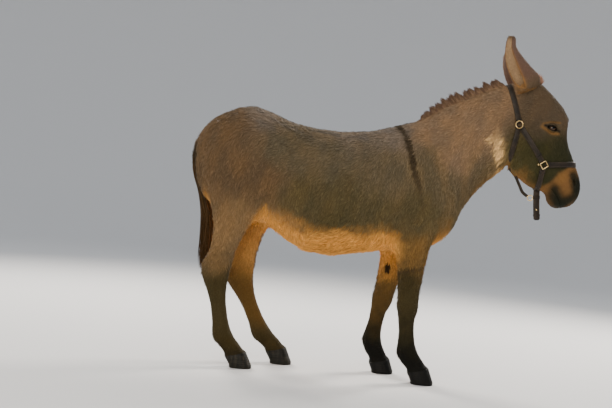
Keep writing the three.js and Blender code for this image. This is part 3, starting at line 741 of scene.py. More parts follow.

# Places in the side view and the coat's colour there; the tints low on the barrel carry painted shade, and those on
# the neck painted glare.
TINTS = [
    ((-0.20, 1.10), BACK), ((-0.55, 1.15), BACK), ((0.02, 1.10), BACK), ((-0.25, 0.95), FLANK),
    ((-0.45, 0.95), FLANK), ((0.00, 0.92), FLANK), ((-0.20, 0.76), BARREL), ((-0.20, 0.66), BARREL_LOW_PAINTED_SHADE),
    ((-0.05, 0.70), BARREL), ((-0.36, 0.76), BARREL), ((-0.68, 1.02), RUMP), ((-0.66, 0.84), RUMP),
    ((-0.52, 0.84), RUMP), ((0.17, 0.96), SHOULDER), ((0.16, 0.76), BARREL), ((0.26, 0.84), SHOULDER),
    ((0.18, 1.10), NECK_PAINTED_GLARE), ((0.34, 1.16), NECK_PAINTED_GLARE), ((0.30, 1.00), NECK_PAINTED_GLARE), ((0.42, 1.10), NECK_PAINTED_GLARE),
    ((0.42, 0.94), SHOULDER), ((0.50, 1.25), NECK_PAINTED_GLARE), ((0.62, 1.28), FOREHEAD), ((0.70, 1.26), FOREHEAD),
    ((0.74, 1.20), FOREHEAD), ((0.65, 1.17), FOREHEAD), ((0.66, 1.08), FACE), ((0.74, 1.10), NOSE_SIDE),
    ((0.75, 1.03), NOSE_SIDE), ((0.58, 1.06), JAW), ((0.62, 0.97), JAW), ((0.68, 0.93), NOSE_SIDE),
    ((-0.62, 0.62), GASKIN), ((-0.70, 0.50), GASKIN), ((-0.45, 0.60), GASKIN), ((-0.60, 0.32), CANNON),
    ((-0.68, 0.32), CANNON), ((0.15, 0.55), FOREARM), ((0.12, 0.42), CANNON), ((0.15, 0.25), CANNON),
]
TINT_REACH = 0.05
BELLY_LINE = np.array([
    (-0.52, 0.72), (-0.49, 0.681), (-0.444, 0.656), (-0.40, 0.638), (-0.356, 0.629), (-0.27, 0.622),
    (-0.142, 0.625), (-0.057, 0.632), (0.006, 0.640), (0.05, 0.640), (0.12, 0.62),
])
CROSS = [
    (0.036, 1.150), (0.048, 1.112), (0.069, 1.074), (0.091, 1.008), (0.112, 0.923), (0.140, 0.839), (0.158, 0.763),
]
THROAT_PATCH = [(0.478, 1.090), (0.482, 1.040), (0.498, 0.975)]


WAVES = 10  # how many waves each noise is made of


def waves(points, size, seed):
    """Soft noise from -1 to 1 with features of about a size."""
    chance = np.random.default_rng(seed)
    total = np.zeros(len(points))
    for _ in range(WAVES):
        push = unit(chance.normal(size=3)) * 2 * math.pi / (size * chance.uniform(0.7, 1.6))
        total += np.sin(points @ push + chance.uniform(0, 2 * math.pi))
    return np.clip(total / math.sqrt(WAVES * 1.2), -1, 1)


def painted(colour, *layers):
    """Colours with other tints laid over them: each layer is a tint and its amount at each point."""
    for tint, amount in zip(layers[::2], layers[1::2]):
        colour = colour + (tint - colour) * np.clip(amount, 0, 1)[:, None]
    return colour


def leg_of(points):
    """0 to 3 for foreleg right, left, hindleg right, left."""
    return (points[:, 1] > 0).astype(int) + 2 * (points[:, 0] < -0.2)


def on_ears(points):
    """Side of the ear that each point is on (0 off the ears), with its place on it."""
    which = np.zeros(len(points))
    place, forward, outward = (np.zeros(len(points)) for _ in range(3))
    for side, ear in EARS.items():
        near = np.where((points[:, 2] > 1.31) & (side * points[:, 1] > 0.015) & (points[:, 0] < 0.66))[0]
        found = ear.find(points[near])
        own = (found[0] > 0.03) & (np.hypot(found[1], found[2]) < 1.3)
        near = near[own]
        which[near] = side
        place[near], forward[near], outward[near] = (f[own] for f in found)
    return which, place, forward, outward


def coat_colour(points, normals):
    """The colour of coat and skin at places on the skin."""
    x, y, z = points.T
    side = np.sign(y)
    inward = -normals[:, 1] * side
    flat = points[:, (0, 2)] + 0.012 * np.stack([waves(points, 0.10, 1), waves(points, 0.10, 2)], 1)
    total, weight = np.zeros((len(points), 3)), np.zeros(len(points))
    for spot, tint in TINTS:
        w = 1 / (((flat - spot) ** 2).sum(1) + TINT_REACH**2) ** 2
        total += w[:, None] * tint
        weight += w
    colour = total / weight[:, None]
    streaks = waves(points * (1, 1, 0.22), 0.050, 21) * smooth_step(1.36, 1.30, z)
    colour = colour * (1 + streaks[:, None] * (0.13, 0.09, 0.03))

    ragged = 0.010 * waves(points, 0.03, 3) + 0.012 * waves(points, 0.11, 4)
    line = np.interp(x, BELLY_LINE[:, 0], BELLY_LINE[:, 1], left=0, right=0)
    belly = smooth_step(0.022, -0.022, z - line + ragged) * smooth_step(0.40, 0.58, z + 2 * ragged)
    belly = belly * smooth_step(-0.56, -0.50, x) * smooth_step(0.12, 0.04, x)
    # The belly turns pale gold: pale hair with a painted backlit glow.
    colour = painted(colour, GOLD_PAINTED_GLOW, belly)
    # Surfaces facing down turn the same way: pale hair with a painted glow from below.
    under = smooth_step(0.35, 0.8, -normals[:, 2]) * smooth_step(0.42, 0.50, z) * smooth_step(0.84, 0.74, z)
    under *= smooth_step(0.36, 0.26, x)
    colour = painted(colour, UNDER_PAINTED_GLOW, 0.8 * under)
    leg = smooth_step(0.66, 0.58, z) * (1 - belly)
    fore = x > -0.2
    facing_in = smooth_step(0.10, 0.60, inward + 4 * ragged) * smooth_step(0.80, 0.66, z)
    inner = facing_in * smooth_step(0.22, 0.40, z)
    # The inner sides of the legs get the same golden tint, with its painted glow.
    colour = painted(
        colour,
        GOLD_PAINTED_GLOW, 0.66 * inner * ~fore * smooth_step(0.24, 0.54, z + ragged),
        GOLD_PAINTED_GLOW, 0.80 * inner * fore * smooth_step(0.34, 0.56, z + ragged),
    )
    dark_top = np.where(fore, 0.43, 0.42)
    shin = leg * (1 - 0.75 * inner)
    colour = painted(colour, CANNON, 0.8 * shin * smooth_step(dark_top + 0.16, dark_top - 0.16, z + 2.5 * ragged))
    shank = facing_in * smooth_step(0.42, 0.34, z) * smooth_step(0.12, 0.21, z)
    colour = painted(
        colour,
        INNER_SHANK, np.where(fore, 0.55, 0.75) * shank,
        PASTERN, 0.9 * leg * fore * smooth_step(0.36, 0.15, z + 2 * ragged),
        HIND_PASTERN, 0.8 * leg * ~fore * smooth_step(0.22, 0.08, z + ragged),
        BLACK, leg * fore * smooth_step(0.19, 0.10, z + ragged),
        BLACK, 0.5 * leg * ~fore * smooth_step(0.12, 0.05, z + ragged),
        BLACK, 0.95 * chestnut(points, normals),
    )
    for spot, slope, thick, amount in LEG_BARS:
        off = (z - spot[1]) - slope * (x - spot[0])
        bar = bell(off, thick) * smooth_step(0.12, 0.06, np.abs(x - spot[0])) * (inward < 0.4)
        colour = painted(colour, STRIPE, amount * bar)

    top = smooth_step(0.55, 0.9, normals[:, 2]) * smooth_step(0.9, 1.0, z) * (x < 0.5)
    stripe = top * smooth_step(0.024, 0.012, np.abs(y) + 0.3 * ragged) * (x > -0.8) * smooth_step(0.14, 0.08, x)
    colour = painted(colour, STRIPE, stripe)
    away, along = curve_distance(points, CROSS, 60)
    half = 0.017 - 0.011 * along
    cross = smooth_step(half + 0.006, half - 0.004, away + 0.25 * ragged) * (1 - 0.75 * smooth_step(0.6, 1.0, along))
    colour = painted(colour, STRIPE, 0.9 * cross)
    tail = smooth_step(-0.76, -0.80, x) * (np.abs(y) < 0.06) * smooth_step(1.02, 0.92, z)
    colour = painted(colour, STRIPE, tail)

    colour = head_colours(points, normals, colour, ragged)
    return ear_colours(points, colour, ragged)


def head_colours(points, normals, colour, ragged):
    """The throat, the pale muzzle with its dark skin, and the rings round the eyes."""
    x, _, z = points.T
    head = (x > 0.52) & (z > 0.78)
    away, _ = curve_distance(points, THROAT_PATCH, 30)
    colour = painted(colour, CREAM, 0.95 * bell(away + 1.6 * ragged, 0.016) * (x < 0.56))
    throat = smooth_step(0.3, 0.8, -normals[:, 2]) * (x > 0.36) * (x < 0.62)
    colour = painted(
        colour,
        TAN, 0.6 * throat,
        TAN, 0.55 * smooth_step(0.35, 0.8, -normals[:, 2]) * (x > 0.58) * (z < 1.0),
    )

    # The pale muzzle ends at a slanting line, and its nostrils, lips and chin are dark.
    mealy = smooth_step(-0.012, 0.014, 0.70 * (x - 0.745) - 0.72 * (z - 0.952) + 0.4 * ragged) * head
    mealy *= smooth_step(1.03, 0.99, z)
    colour = painted(colour, MEALY, 0.95 * mealy)
    away, _ = curve_distance(points, [(0.775, 0.985), (0.760, 0.935), (0.735, 0.915)], 20)
    colour = painted(colour, TAN, 0.45 * mealy * bell(away, 0.014))
    for curve, wide, amount in MUZZLE_DARK:
        away, _ = curve_distance(points, curve, 24)
        colour = painted(colour, MUZZLE_SKIN, amount * head * bell(away + 0.25 * ragged, wide))
    front = smooth_step(0.35, 0.85, normals[:, 0]) * smooth_step(0.985, 0.94, z) * head
    colour = painted(colour, MUZZLE_SKIN, 0.8 * front)

    # Round the eye: a pale ring, and dark lid skin drawn out into a corner at the back and one at the front, widened
    # by painted shadow of the lids.
    spot = side_spot(points, EYE)
    edge = eye_opening(points)
    near = head & (spot < 0.06)
    ring, _ = curve_distance(points, [(0.655, 1.166), (0.680, 1.150), (0.700, 1.140), (0.727, 1.141)], 24)
    colour = painted(colour, TAN * 0.85, 0.75 * near * bell(ring, 0.0050))
    ring, _ = curve_distance(points, [(0.658, 1.178), (0.690, 1.188), (0.730, 1.188)], 24)
    colour = painted(colour, TAN * 0.8, 0.55 * near * bell(ring, 0.0032))
    for tail in ([(0.668, 1.172), (0.684, 1.167)], [(0.716, 1.157), (0.731, 1.151)]):
        corner, _ = curve_distance(points, tail, 12)
        colour = painted(colour, BLACK, 0.85 * near * bell(corner, 0.0042))
    # A dark band round the opening: dark lid skin with painted shadow of the lids.
    colour = painted(colour, BLACK, near * smooth_step(0.0055, 0.0015, edge))
    return colour


LEG_BARS = [
    ((0.145, 0.497), 0.34, 0.006, 0.75), ((0.135, 0.462), 0.25, 0.004, 0.4), ((0.140, 0.535), 0.3, 0.004, 0.35),
    ((-0.640, 0.500), 0.2, 0.005, 0.30), ((-0.645, 0.465), 0.2, 0.004, 0.25),
]
MUZZLE_DARK = [
    ([(0.745, 0.902), (0.757, 0.870), (0.772, 0.840)], 0.020, 0.95),  # lips
    ([(0.738, 0.868), (0.765, 0.835)], 0.020, 0.7),  # chin
    ([(0.822, 0.968), (0.828, 0.940), (0.835, 0.905)], 0.015, 0.85),  # nostril
    ([(0.846, 0.940), (0.842, 0.895), (0.815, 0.860), (0.785, 0.838)], 0.021, 0.95),  # front of the upper lip
]


def ear_colours(points, colour, ragged):
    """Brown backs with dark tips and edges, and pale hair inside."""
    which, place, forward, outward = on_ears(points)
    facing, wide = ear_open(place)
    turn = (np.arctan2(outward, forward) - facing + np.pi) % (2 * np.pi) - np.pi
    radius = np.hypot(forward, outward)
    inside = ((radius < 0.90) & (place > 0.05)) | (np.abs(turn) < wide * 0.9)
    ear = which != 0
    firm = smooth_step(0.05, 0.25, place) * ear
    colour = painted(
        colour,
        EAR_BACK, firm * ~inside,
        EAR_INSIDE, firm * inside,
    )
    front_rim = bell(turn + wide * 0.92, 0.13) + bell(turn - wide * 0.92, 0.13)
    pale = 0.85 * ear * front_rim * smooth_step(0.9, 0.6, place) * smooth_step(0.0, 0.1, place)
    colour = painted(
        colour,
        TAN * 1.25, pale,
        STRIPE, 0.65 * ear * smooth_step(0.80, 0.97, place + 2 * ragged),
    )
    return colour


# ---------------------------------------------------------------------------------------------- the lie of the coat
# Places in the side view, and where the hair points there.
LIE = [
    ((0.84, 0.93), (0.3, -0.9)), ((0.80, 1.08), (0.25, -0.95)), ((0.76, 1.24), (-0.3, 0.9)),
    ((0.74, 1.16), (0.2, -0.9)), ((0.64, 1.08), (-0.5, -0.85)), ((0.60, 0.96), (-0.2, -1)),
    ((0.70, 0.95), (-0.1, -1)), ((0.65, 1.25), (-0.8, -0.2)), ((0.62, 1.17), (-0.8, -0.5)),
    ((0.56, 1.34), (-0.7, 0.4)), ((0.50, 1.30), (-0.9, -0.2)), ((0.40, 1.22), (-0.75, -0.65)),
    ((0.38, 1.05), (-0.45, -0.9)), ((0.48, 0.98), (-0.6, -0.8)), ((0.48, 1.10), (-0.6, -0.8)),
    ((0.30, 0.75), (-0.1, -1)), ((0.12, 0.95), (-0.25, -0.97)), ((0.25, 1.10), (-0.8, -0.6)),
    ((0.10, 1.13), (-0.95, -0.2)), ((-0.20, 1.06), (-1, -0.1)), ((-0.20, 0.92), (-0.75, -0.65)),
    ((-0.20, 0.75), (-0.35, -0.93)), ((0.0, 0.8), (-0.3, -0.95)), ((-0.20, 0.53), (-0.9, -0.3)),
    ((-0.6, 1.13), (-0.95, -0.2)), ((-0.45, 0.95), (-0.8, -0.6)), ((-0.40, 0.75), (-0.1, -0.97)),
    ((-0.75, 0.95), (-0.4, -0.9)), ((-0.60, 0.85), (-0.3, -0.95)), ((-0.65, 0.60), (-0.15, -1)),
    ((-0.65, 0.30), (0, -1)), ((-0.45, 0.55), (-0.1, -1)), ((-0.45, 0.25), (0, -1)), ((0.10, 0.60), (-0.1, -1)),
    ((0.10, 0.30), (0, -1)), ((0.20, 0.45), (0, -1)), ((0.20, 0.20), (0, -1)), ((-0.82, 0.95), (-0.2, -1)),
    ((-0.84, 0.75), (0, -1)), ((0.60, 1.39), (-0.5, 0.85)), ((0.54, 1.43), (-0.5, 0.85)),
    ((0.50, 1.50), (-0.3, 0.95)), ((0.52, 1.37), (-0.4, 0.9)),
]
LIE_REACH = 0.03


def lie_of(points, normals):
    """Unit directions of the hair along the skin."""
    flat = points[:, (0, 2)]
    total = np.zeros((len(points), 2))
    for spot, way in LIE:
        w = 1 / (((flat - spot) ** 2).sum(1) + LIE_REACH**2) ** 2
        total += w[:, None] * np.array(way)
    total /= np.linalg.norm(total, axis=1)[:, None]
    out = 0.35 * np.sign(points[:, 1]) * np.clip(normals[:, 2], 0, 1) * (points[:, 2] < 1.3)
    way = np.stack([total[:, 0], out, total[:, 1]], 1)
    way -= (way * normals).sum(1)[:, None] * normals
    return unit(way)


# ---------------------------------------------------------------------------------------------- the coat
PATCH = 0.003  # how large a tuft is on the bake map
BODY_HAIR = 0.022  # length of the hair on the body
SUNK = 0.0012  # how far a tuft starts below the skin
LONG_FACES = np.array([
    (0, 2, 1), (0, 1, 4), (0, 4, 3), (1, 2, 5), (1, 5, 4), (2, 0, 3), (2, 3, 5), (3, 4, 6), (4, 5, 6), (5, 3, 6),
])
SHORT_FACES = np.array([(0, 2, 1), (0, 1, 3), (1, 2, 3), (2, 0, 3)])


def tuft_points(root, normal, way, length, width, lift, curl, long):
    """Corners of thin closed spikes that leave the skin at an angle and bend back along it."""
    across = np.cross(normal, way)
    l, w = length[:, None], width[:, None]

    def place(share, rise):
        return root + l * share * (way * np.cos(rise)[:, None] + normal * np.sin(rise)[:, None])

    low = root - normal * SUNK
    tip = place(1.0, lift * (1 - curl))
    if not long:
        return np.stack([low - across * w / 2, low + across * w / 2, low + (way * 0.3 + normal * 0.5) * w, tip], 1)
    mid = place(0.5, lift)
    return np.stack([
        low - across * w * 0.4, low + across * w * 0.4, low + normal * w * 0.3 - way * w * 0.3,
        mid - across * w / 2, mid + across * w / 2, mid + normal * w * 0.35, tip,
    ], 1)


def tuft_mesh(name, corners, faces, colours, atlas, shares):
    """One mesh from the corners of many tufts: shares gives the place of each corner along its tuft."""
    count, each = corners.shape[:2]
    triangles = (faces[None] + (np.arange(count) * each)[:, None, None]).reshape(-1, 3)
    made = mesh_object(name, corners.reshape(-1, 3), triangles, smooth=False)
    shade = 0.80 + 0.34 * np.array(shares)
    values = np.ones((count, each, 4), np.float32)
    values[..., :3] = colours[:, None] * shade[None, :, None]
    set_tint(made, values.reshape(-1, 4))
    spread = np.stack([np.array(shares), (np.arange(each) % 3) / 2.0], 1) - 0.5
    set_bake_map(made, atlas[:, None] + spread[None] * PATCH, triangles)
    return made


def set_bake_map(made, places, triangles):
    """The unwrap that the coat is baked on, from a place on it for each point."""
    uv = np.clip(places, 0, 1).reshape(-1, 2)
    layer = made.data.uv_layers.new(name="OFBake")
    layer.uv.foreach_set("vector", uv[triangles.ravel()].astype(np.float32).ravel())


def set_tint(made, values):
    layer = made.data.color_attributes.new(name="tint", type="FLOAT_COLOR", domain="POINT")
    layer.data.foreach_set("color", values.astype(np.float32).ravel())


AXES = {  # region: two places in the side view that its unwrap turns about
    "trunk": ((-0.90, 0.84), (0.38, 0.84)),
    "neck": ((0.12, 0.86), (0.58, 1.28)),
    "head": ((0.52, 1.34), (0.84, 0.80)),
}


def region_of(points):
    """Name of the region that each root belongs to."""
    x, y, z = points.T
    region = np.full(len(points), "trunk", dtype="<U6")
    region[(0.82 * (x - 0.225) + 0.57 * (z - 0.970) > 0) & (z > 0.72)] = "neck"
    region[(x > 0.52) & (z > 0.80) & (x + 0.35 * (z - 1.0) > 0.56)] = "head"
    leg = (z < 0.62) & (np.abs(y) > 0.035) & ((x > -0.06) | (x < -0.37))
    region[leg] = "legs"
    region[(z > 1.33) & (on_ears(points)[0] != 0)] = "ears"
    return region


def atlas_of(points, region):
    """Places on a flat unwrap of the skin, which turns each region out round its own middle."""
    out = np.zeros((len(points), 2))
    for name in np.unique(region):
        own = region == name
        x, y, z = points[own].T
        if name == "legs":
            leg = leg_of(points[own])
            middle = np.array([np.median(x[leg == k]) if (leg == k).any() else 0 for k in range(4)])[leg]
            angle = np.arctan2(x - middle, np.abs(y) - 0.106) / (2 * math.pi) + 0.5
            out[own] = np.stack([(leg + 0.02 + 0.96 * angle) / 4, z / 0.62], 1)
        elif name == "ears":
            which, place, forward, outward = on_ears(points[own])
            angle = np.arctan2(outward, forward) / (2 * math.pi) + 0.5
            out[own] = np.stack([((which > 0) + 0.02 + 0.96 * angle) / 2, place], 1)
        else:
            (ax, az), (bx, bz) = AXES[name]
            length = math.hypot(bx - ax, bz - az)
            ux, uz = (bx - ax) / length, (bz - az) / length
            along = ((x - ax) * ux + (z - az) * uz) / length
            angle = np.arctan2((z - az) * ux - (x - ax) * uz, y) / (2 * math.pi) + 0.5
            out[own] = np.stack([along, angle], 1)
    return np.clip(out, 0.002, 0.998)


def coat_length(points, normals, region):
    """Length of the hair, in metres."""
    x, _, z = points.T
    length = np.full(len(points), BODY_HAIR)
    length[region == "neck"] = 0.020
    length = np.where(region == "legs", 0.010 + 0.012 * smooth_step(0.2, 0.6, z), length)
    length = np.where(region == "head", 0.009 + 0.007 * smooth_step(0.70, 0.56, x), length)
    length = np.where((region == "head") & (x > 0.70) & (z < 1.0), 0.0055, length)
    spot = side_spot(points, EYE)
    length = np.where((region == "head") & (spot < 0.05), 0.0045, length)
    length = np.where(region == "ears", 0.009, length)
    feather = 0.008 * (region == "legs") * smooth_step(0.07, 0.11, z) * smooth_step(0.20, 0.14, z)
    length += feather * smooth_step(0.1, 0.6, -normals[:, 0])
    under = smooth_step(0.3, 0.8, -normals[:, 2]) * (z > 0.45)
    length = length * (1 + 0.35 * under * (region != "head"))
    patch, _ = curve_distance(points, THROAT_PATCH, 20)
    return length * (1 + 0.5 * bell(patch, 0.03))


def roots_on_skin(count, weight):
    """Random places on the skin, more of them where weight(middles) is greater."""
    corners = SKIN_POINTS[SKIN_TRIANGLES]
    face = np.cross(corners[:, 1] - corners[:, 0], corners[:, 2] - corners[:, 0])
    area = np.linalg.norm(face, axis=1) / 2
    middle = corners.mean(1)
    chance = area * weight(middle)
    picked = random.choice(len(area), count, p=chance / chance.sum())
    a, b = random.random(count), random.random(count)
    a, b = np.where(a + b > 1, 1 - a, a), np.where(a + b > 1, 1 - b, b)
    shares = np.stack([1 - a - b, a, b], 1)
    root = (corners[picked] * shares[..., None]).sum(1)
    normal = unit((SKIN_NORMALS[SKIN_TRIANGLES[picked]] * shares[..., None]).sum(1))
    return root, normal


def clear_of_fittings(points):
    """False inside the eyes, nostrils and mouth and under the straps of the head collar."""
    clear = np.ones(len(points), bool)
    head = np.where((points[:, 0] > 0.46) & (points[:, 2] > 0.78))[0]
    p = points[head]
    good = (eye_opening(p) > 0.0028) | (side_spot(p, EYE) > 0.03)
    groove, _ = curve_distance(p, MOUTH, 30)
    good &= groove > 0.0020
    for side in (-1, 1):
        good &= np.linalg.norm((p - NOSTRIL * (1, side, 1)) / (1, 1, 1.7), axis=1) > 0.0085
    for path, half in STRAP_PATHS:
        for start in range(0, len(p), 4000):
            part = p[start:start + 4000]
            away = np.linalg.norm(part[:, None] - path[None], axis=2).min(1)
            good[start:start + 4000] &= away > half + 0.001
    clear[head] = good
    for (side, _), joints in LEG_JOINTS.items():
        ahead, up = points[:, 0] - joints[-1][0], points[:, 2] - joints[-1][1]
        foot = (points[:, 1] * side > 0) & (np.abs(ahead) < 0.10) & (up < 0.08)
        clear &= ~(foot & (up < CORONET_SLOPE * ahead - 0.005))
    return clear


def make_tufts(name, count, weight, long, wide, lift, curl, pieces, stretch=1.0):
    """Tufts over the skin, shared out over several meshes.

    lift is the angle in radians at which a tuft leaves the skin, curl is how much of it bends back towards the tip,
    and stretch is its share of the coat's full length.
    """
    root, normal = roots_on_skin(count, weight)
    keep = clear_of_fittings(root)
    root, normal = root[keep], normal[keep]
    count = len(root)
    region = region_of(root)
    way = lie_of(root, normal)
    across = np.cross(normal, way)
    sway = 0.30 * waves(root, 0.035, 11) + 0.16 * waves(root, 0.012, 12) + random.normal(0, 0.10, count)
    way = unit(way + across * sway[:, None])
    length = coat_length(root, normal, region) * stretch * random.uniform(0.7, 1.2, count)
    fine = np.clip(length / BODY_HAIR, 0.45, 1.2)
    width = wide * fine * random.uniform(0.75, 1.25, count)
    rise = lift * random.uniform(0.5, 1.4, count) * (1 + 0.35 * waves(root, 0.02, 13))
    rise *= np.where(region == "head", 0.75, 1) * np.where(region == "ears", 0.5, 1)
    colour = coat_colour(root, normal) * random.normal(1, 0.11, count).clip(0.6, 1.5)[:, None]
    colour *= (1 + 0.07 * waves(root, 0.02, 14))[:, None]
    corners = tuft_points(root, normal, way, length, width, rise, curl, long)
    atlas = atlas_of(root, region)
    faces = LONG_FACES if long else SHORT_FACES
    shares = (0, 0, 0, 0.5, 0.5, 0.5, 1) if long else (0, 0, 0, 1)
    for k in range(pieces):
        part = slice(k, None, pieces)
        made = tuft_mesh(f"{name}_{k + 1}", corners[part], faces, colour[part], atlas[part], shares)
        made.data.materials.append(MATERIAL["coat"])
        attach(made, "root")


HEAD_FUR = 1.6  # how much closer the tufts stand on the head


def body_weight(middle):
    """Where the long tufts grow: the body, neck, head and upper legs."""
    x, _, z = middle.T
    head = smooth_step(0.50, 0.56, x) * (z > 0.8)
    weight = smooth_step(0.30, 0.50, z) * (1 + HEAD_FUR * head)
    weight *= (side_spot(middle, EYE) > 0.030) | (head < 0.5)
    patch, _ = curve_distance(middle, THROAT_PATCH, 20)
    return weight * (1 + 1.5 * bell(patch, 0.03)) + 1e-9


def short_weight(middle):
    """Where the short tufts grow: everywhere, and closest on the head, ears and feet."""
    x, _, z = middle.T
    head = smooth_step(0.48, 0.54, x) * (z > 0.8)
    weight = 1 + 2.2 * head + 1.6 * smooth_step(0.45, 0.30, z)
    weight *= np.where((x > 0.70) & (z < 1.0), 1.6, 1)
    return weight


# ---------------------------------------------------------------------------------------------- materials
MATERIAL = {}


class Nodes:
    """Short ways to add and join the nodes of one material."""

    def __init__(self, name, roughness, metallic=0.0):
        self.material = bpy.data.materials.new(name)
        self.material.use_nodes = True
        self.tree = self.material.node_tree
        self.shader = self.tree.nodes["Principled BSDF"]
        self.shader.inputs["Roughness"].default_value = roughness
        self.shader.inputs["Metallic"].default_value = metallic
        MATERIAL[name] = self.material

    def join(self, source, target):
        self.tree.links.new(source, target)

    def node(self, kind, **values):
        made = self.tree.nodes.new("ShaderNode" + kind)
        for key, value in values.items():
            if key in made.inputs:
                made.inputs[key].default_value = value
            else:
                setattr(made, key, value)
        return made

    def place(self, stretch=(1, 1, 1)):
        """Object coordinates, stretched."""
        coordinates = self.node("TexCoord")
        mapping = self.node("Mapping", Scale=stretch)
        self.join(coordinates.outputs["Object"], mapping.inputs["Vector"])
        return mapping.outputs["Vector"]

    def noise(self, scale, stretch=(1, 1, 1), detail=4.0, **values):
        made = self.node("TexNoise", Scale=scale, Detail=detail, **values)
        self.join(self.place(stretch), made.inputs["Vector"])
        return made.outputs["Fac"]

    def ramp(self, source, *stops):
        """A colour or grey ramp: stops are (place, colour or grey)."""
        made = self.node("ValToRGB")
        while len(made.color_ramp.elements) < len(stops):
            made.color_ramp.elements.new(0.5)
        for element, (place, value) in zip(made.color_ramp.elements, stops):
            element.position = place
            element.color = (*value, 1) if hasattr(value, "__len__") else (value, value, value, 1)
        self.join(source, made.inputs["Fac"])
        return made.outputs["Color"]

    def mixed(self, a, b, amount, blend="MIX"):
        made = self.node("Mix", data_type="RGBA", blend_type=blend)
        for source, socket in ((amount, made.inputs[0]), (a, made.inputs[6]), (b, made.inputs[7])):
            if hasattr(source, "is_output"):
                self.join(source, socket)
            else:
                socket.default_value = source if socket.type == "VALUE" else (*source, 1)
        return made.outputs[2]

    def tinted(self, shade):
        """The mesh's own tint, darkened by a shade."""
        tint = self.node("Attribute", attribute_name="tint", attribute_type="GEOMETRY")
        return self.mixed(tint.outputs["Color"], shade, 1.0, "MULTIPLY")

    def bump(self, *heights):
        """Bumps one over another: (height, strength, distance)."""
        last = None
        for height, strength, distance in heights:
            made = self.node("Bump", Strength=strength, Distance=distance)
            self.join(height, made.inputs["Height"])
            if last is not None:
                self.join(last, made.inputs["Normal"])
            last = made.outputs["Normal"]
        self.join(last, self.shader.inputs["Normal"])

    def colour(self, source):
        self.join(source, self.shader.inputs["Base Color"])

    def set(self, **values):
        for key, value in values.items():
            self.shader.inputs[key.replace("_", " ")].default_value = value


def make_materials():
    coat = Nodes("coat", 0.62)
    coat.colour(coat.tinted(coat.ramp(coat.noise(260), (0.3, 0.80), (0.7, 1.0))))
    coat.set(Sheen_Weight=0.12, Sheen_Roughness=0.40, Sheen_Tint=(1.0, 0.80, 0.58, 1), Specular_IOR_Level=0.10)

    skin = Nodes("skin", 0.7)
    skin.colour(skin.tinted(skin.ramp(skin.noise(420), (0.3, 0.62), (0.72, 1.0))))
    skin.bump((skin.noise(700, (1, 1, 0.25)), 0.5, 0.0008), (skin.noise(160), 0.3, 0.0012))
    skin.set(Specular_IOR_Level=0.10)

    hair = Nodes("long_hair", 0.5)
    hair.colour(hair.tinted(hair.ramp(hair.noise(300, (1, 1, 0.1)), (0.3, 0.7), (0.7, 1.0))))
    hair.set(Sheen_Weight=0.12, Sheen_Roughness=0.4, Sheen_Tint=(1.0, 0.75, 0.5, 1), Specular_IOR_Level=0.12)

    leather = Nodes("leather", 0.42)
    worn = leather.noise(38, detail=6.0)
    leather.colour(leather.ramp(
        worn, (0.30, (0.009, 0.007, 0.005)), (0.60, (0.024, 0.016, 0.010)), (0.85, (0.062, 0.039, 0.023)),
    ))
    leather.join(leather.ramp(leather.noise(90), (0.3, 0.46), (0.8, 0.72)), leather.shader.inputs["Roughness"])
    leather.set(Specular_IOR_Level=0.22)
    grain = leather.node("TexVoronoi", Scale=900.0)
    leather.join(leather.place(), grain.inputs["Vector"])
    leather.bump((grain.outputs["Distance"], 0.25, 0.0004), (leather.noise(120), 0.3, 0.0008))

    thread = Nodes("thread", 0.7)
    thread.colour(thread.ramp(thread.noise(500), (0.3, (0.10, 0.075, 0.045)), (0.7, (0.20, 0.15, 0.09))))
    thread.bump((thread.noise(2500), 0.3, 0.0002))

    brass = Nodes("brass", 0.26, 1.0)
    worn = brass.noise(70, detail=6.0)
    brass.colour(brass.ramp(worn, (0.25, (0.42, 0.26, 0.10)), (0.55, (0.80, 0.58, 0.27)), (0.8, (0.90, 0.70, 0.38))))
    brass.join(brass.ramp(brass.noise(160), (0.3, 0.16), (0.8, 0.42)), brass.shader.inputs["Roughness"])
    brass.bump((brass.noise(900), 0.12, 0.0002))

    hoof = Nodes("hoof", 0.55)
    streaks = hoof.noise(90, (1, 1, 0.12), detail=5.0)
    rings = hoof.noise(60, (0.15, 0.15, 2.4))
    horn = hoof.ramp(
        streaks, (0.30, (0.006, 0.006, 0.005)), (0.58, (0.016, 0.014, 0.011)), (0.85, (0.050, 0.041, 0.028)),
    )
    worn = hoof.mixed(horn, hoof.ramp(rings, (0.35, 0.55), (0.65, 1.0)), 0.8, "MULTIPLY")
    hoof.colour(hoof.tinted(worn))
    hoof.set(Specular_IOR_Level=0.15)
    hoof.bump((rings, 0.35, 0.0012), (streaks, 0.3, 0.0006), (hoof.noise(500), 0.2, 0.0003))

    make_eye_material()


def make_eye_material():
    """Dark brown, with a wide pupil lying level. The eyeball's own +Z faces out of the head."""
    eye = Nodes("eye", 0.10)
    axes = eye.node("SeparateXYZ")
    coordinates = eye.node("TexCoord")
    eye.join(coordinates.outputs["Object"], axes.inputs["Vector"])

    def scaled(socket, factor):
        made = eye.node("Math", operation="MULTIPLY")
        eye.join(socket, made.inputs[0])
        made.inputs[1].default_value = factor
        return made.outputs[0]

    def length(wide, tall):
        joined = eye.node("CombineXYZ")
        eye.join(scaled(axes.outputs["X"], wide), joined.inputs["X"])
        eye.join(scaled(axes.outputs["Y"], tall), joined.inputs["Y"])
        made = eye.node("VectorMath", operation="LENGTH")
        eye.join(joined.outputs["Vector"], made.inputs[0])
        return made.outputs["Value"]

    streaks = eye.ramp(eye.noise(900, (1, 1, 0.1)), (0.3, (0.028, 0.013, 0.006)), (0.7, (0.080, 0.038, 0.015)))
    iris = eye.ramp(length(70, 85), (0.86, 0.0), (1.0, 1.0))
    pupil = eye.ramp(length(100, 210), (0.80, 1.0), (1.0, 0.0))
    colour = eye.mixed(streaks, (0.012, 0.008, 0.006), iris)
    eye.colour(eye.mixed(colour, (0.002, 0.002, 0.003), pupil))
    eye.set(Coat_Weight=0.2, Coat_Roughness=0.03, Specular_IOR_Level=0.3)


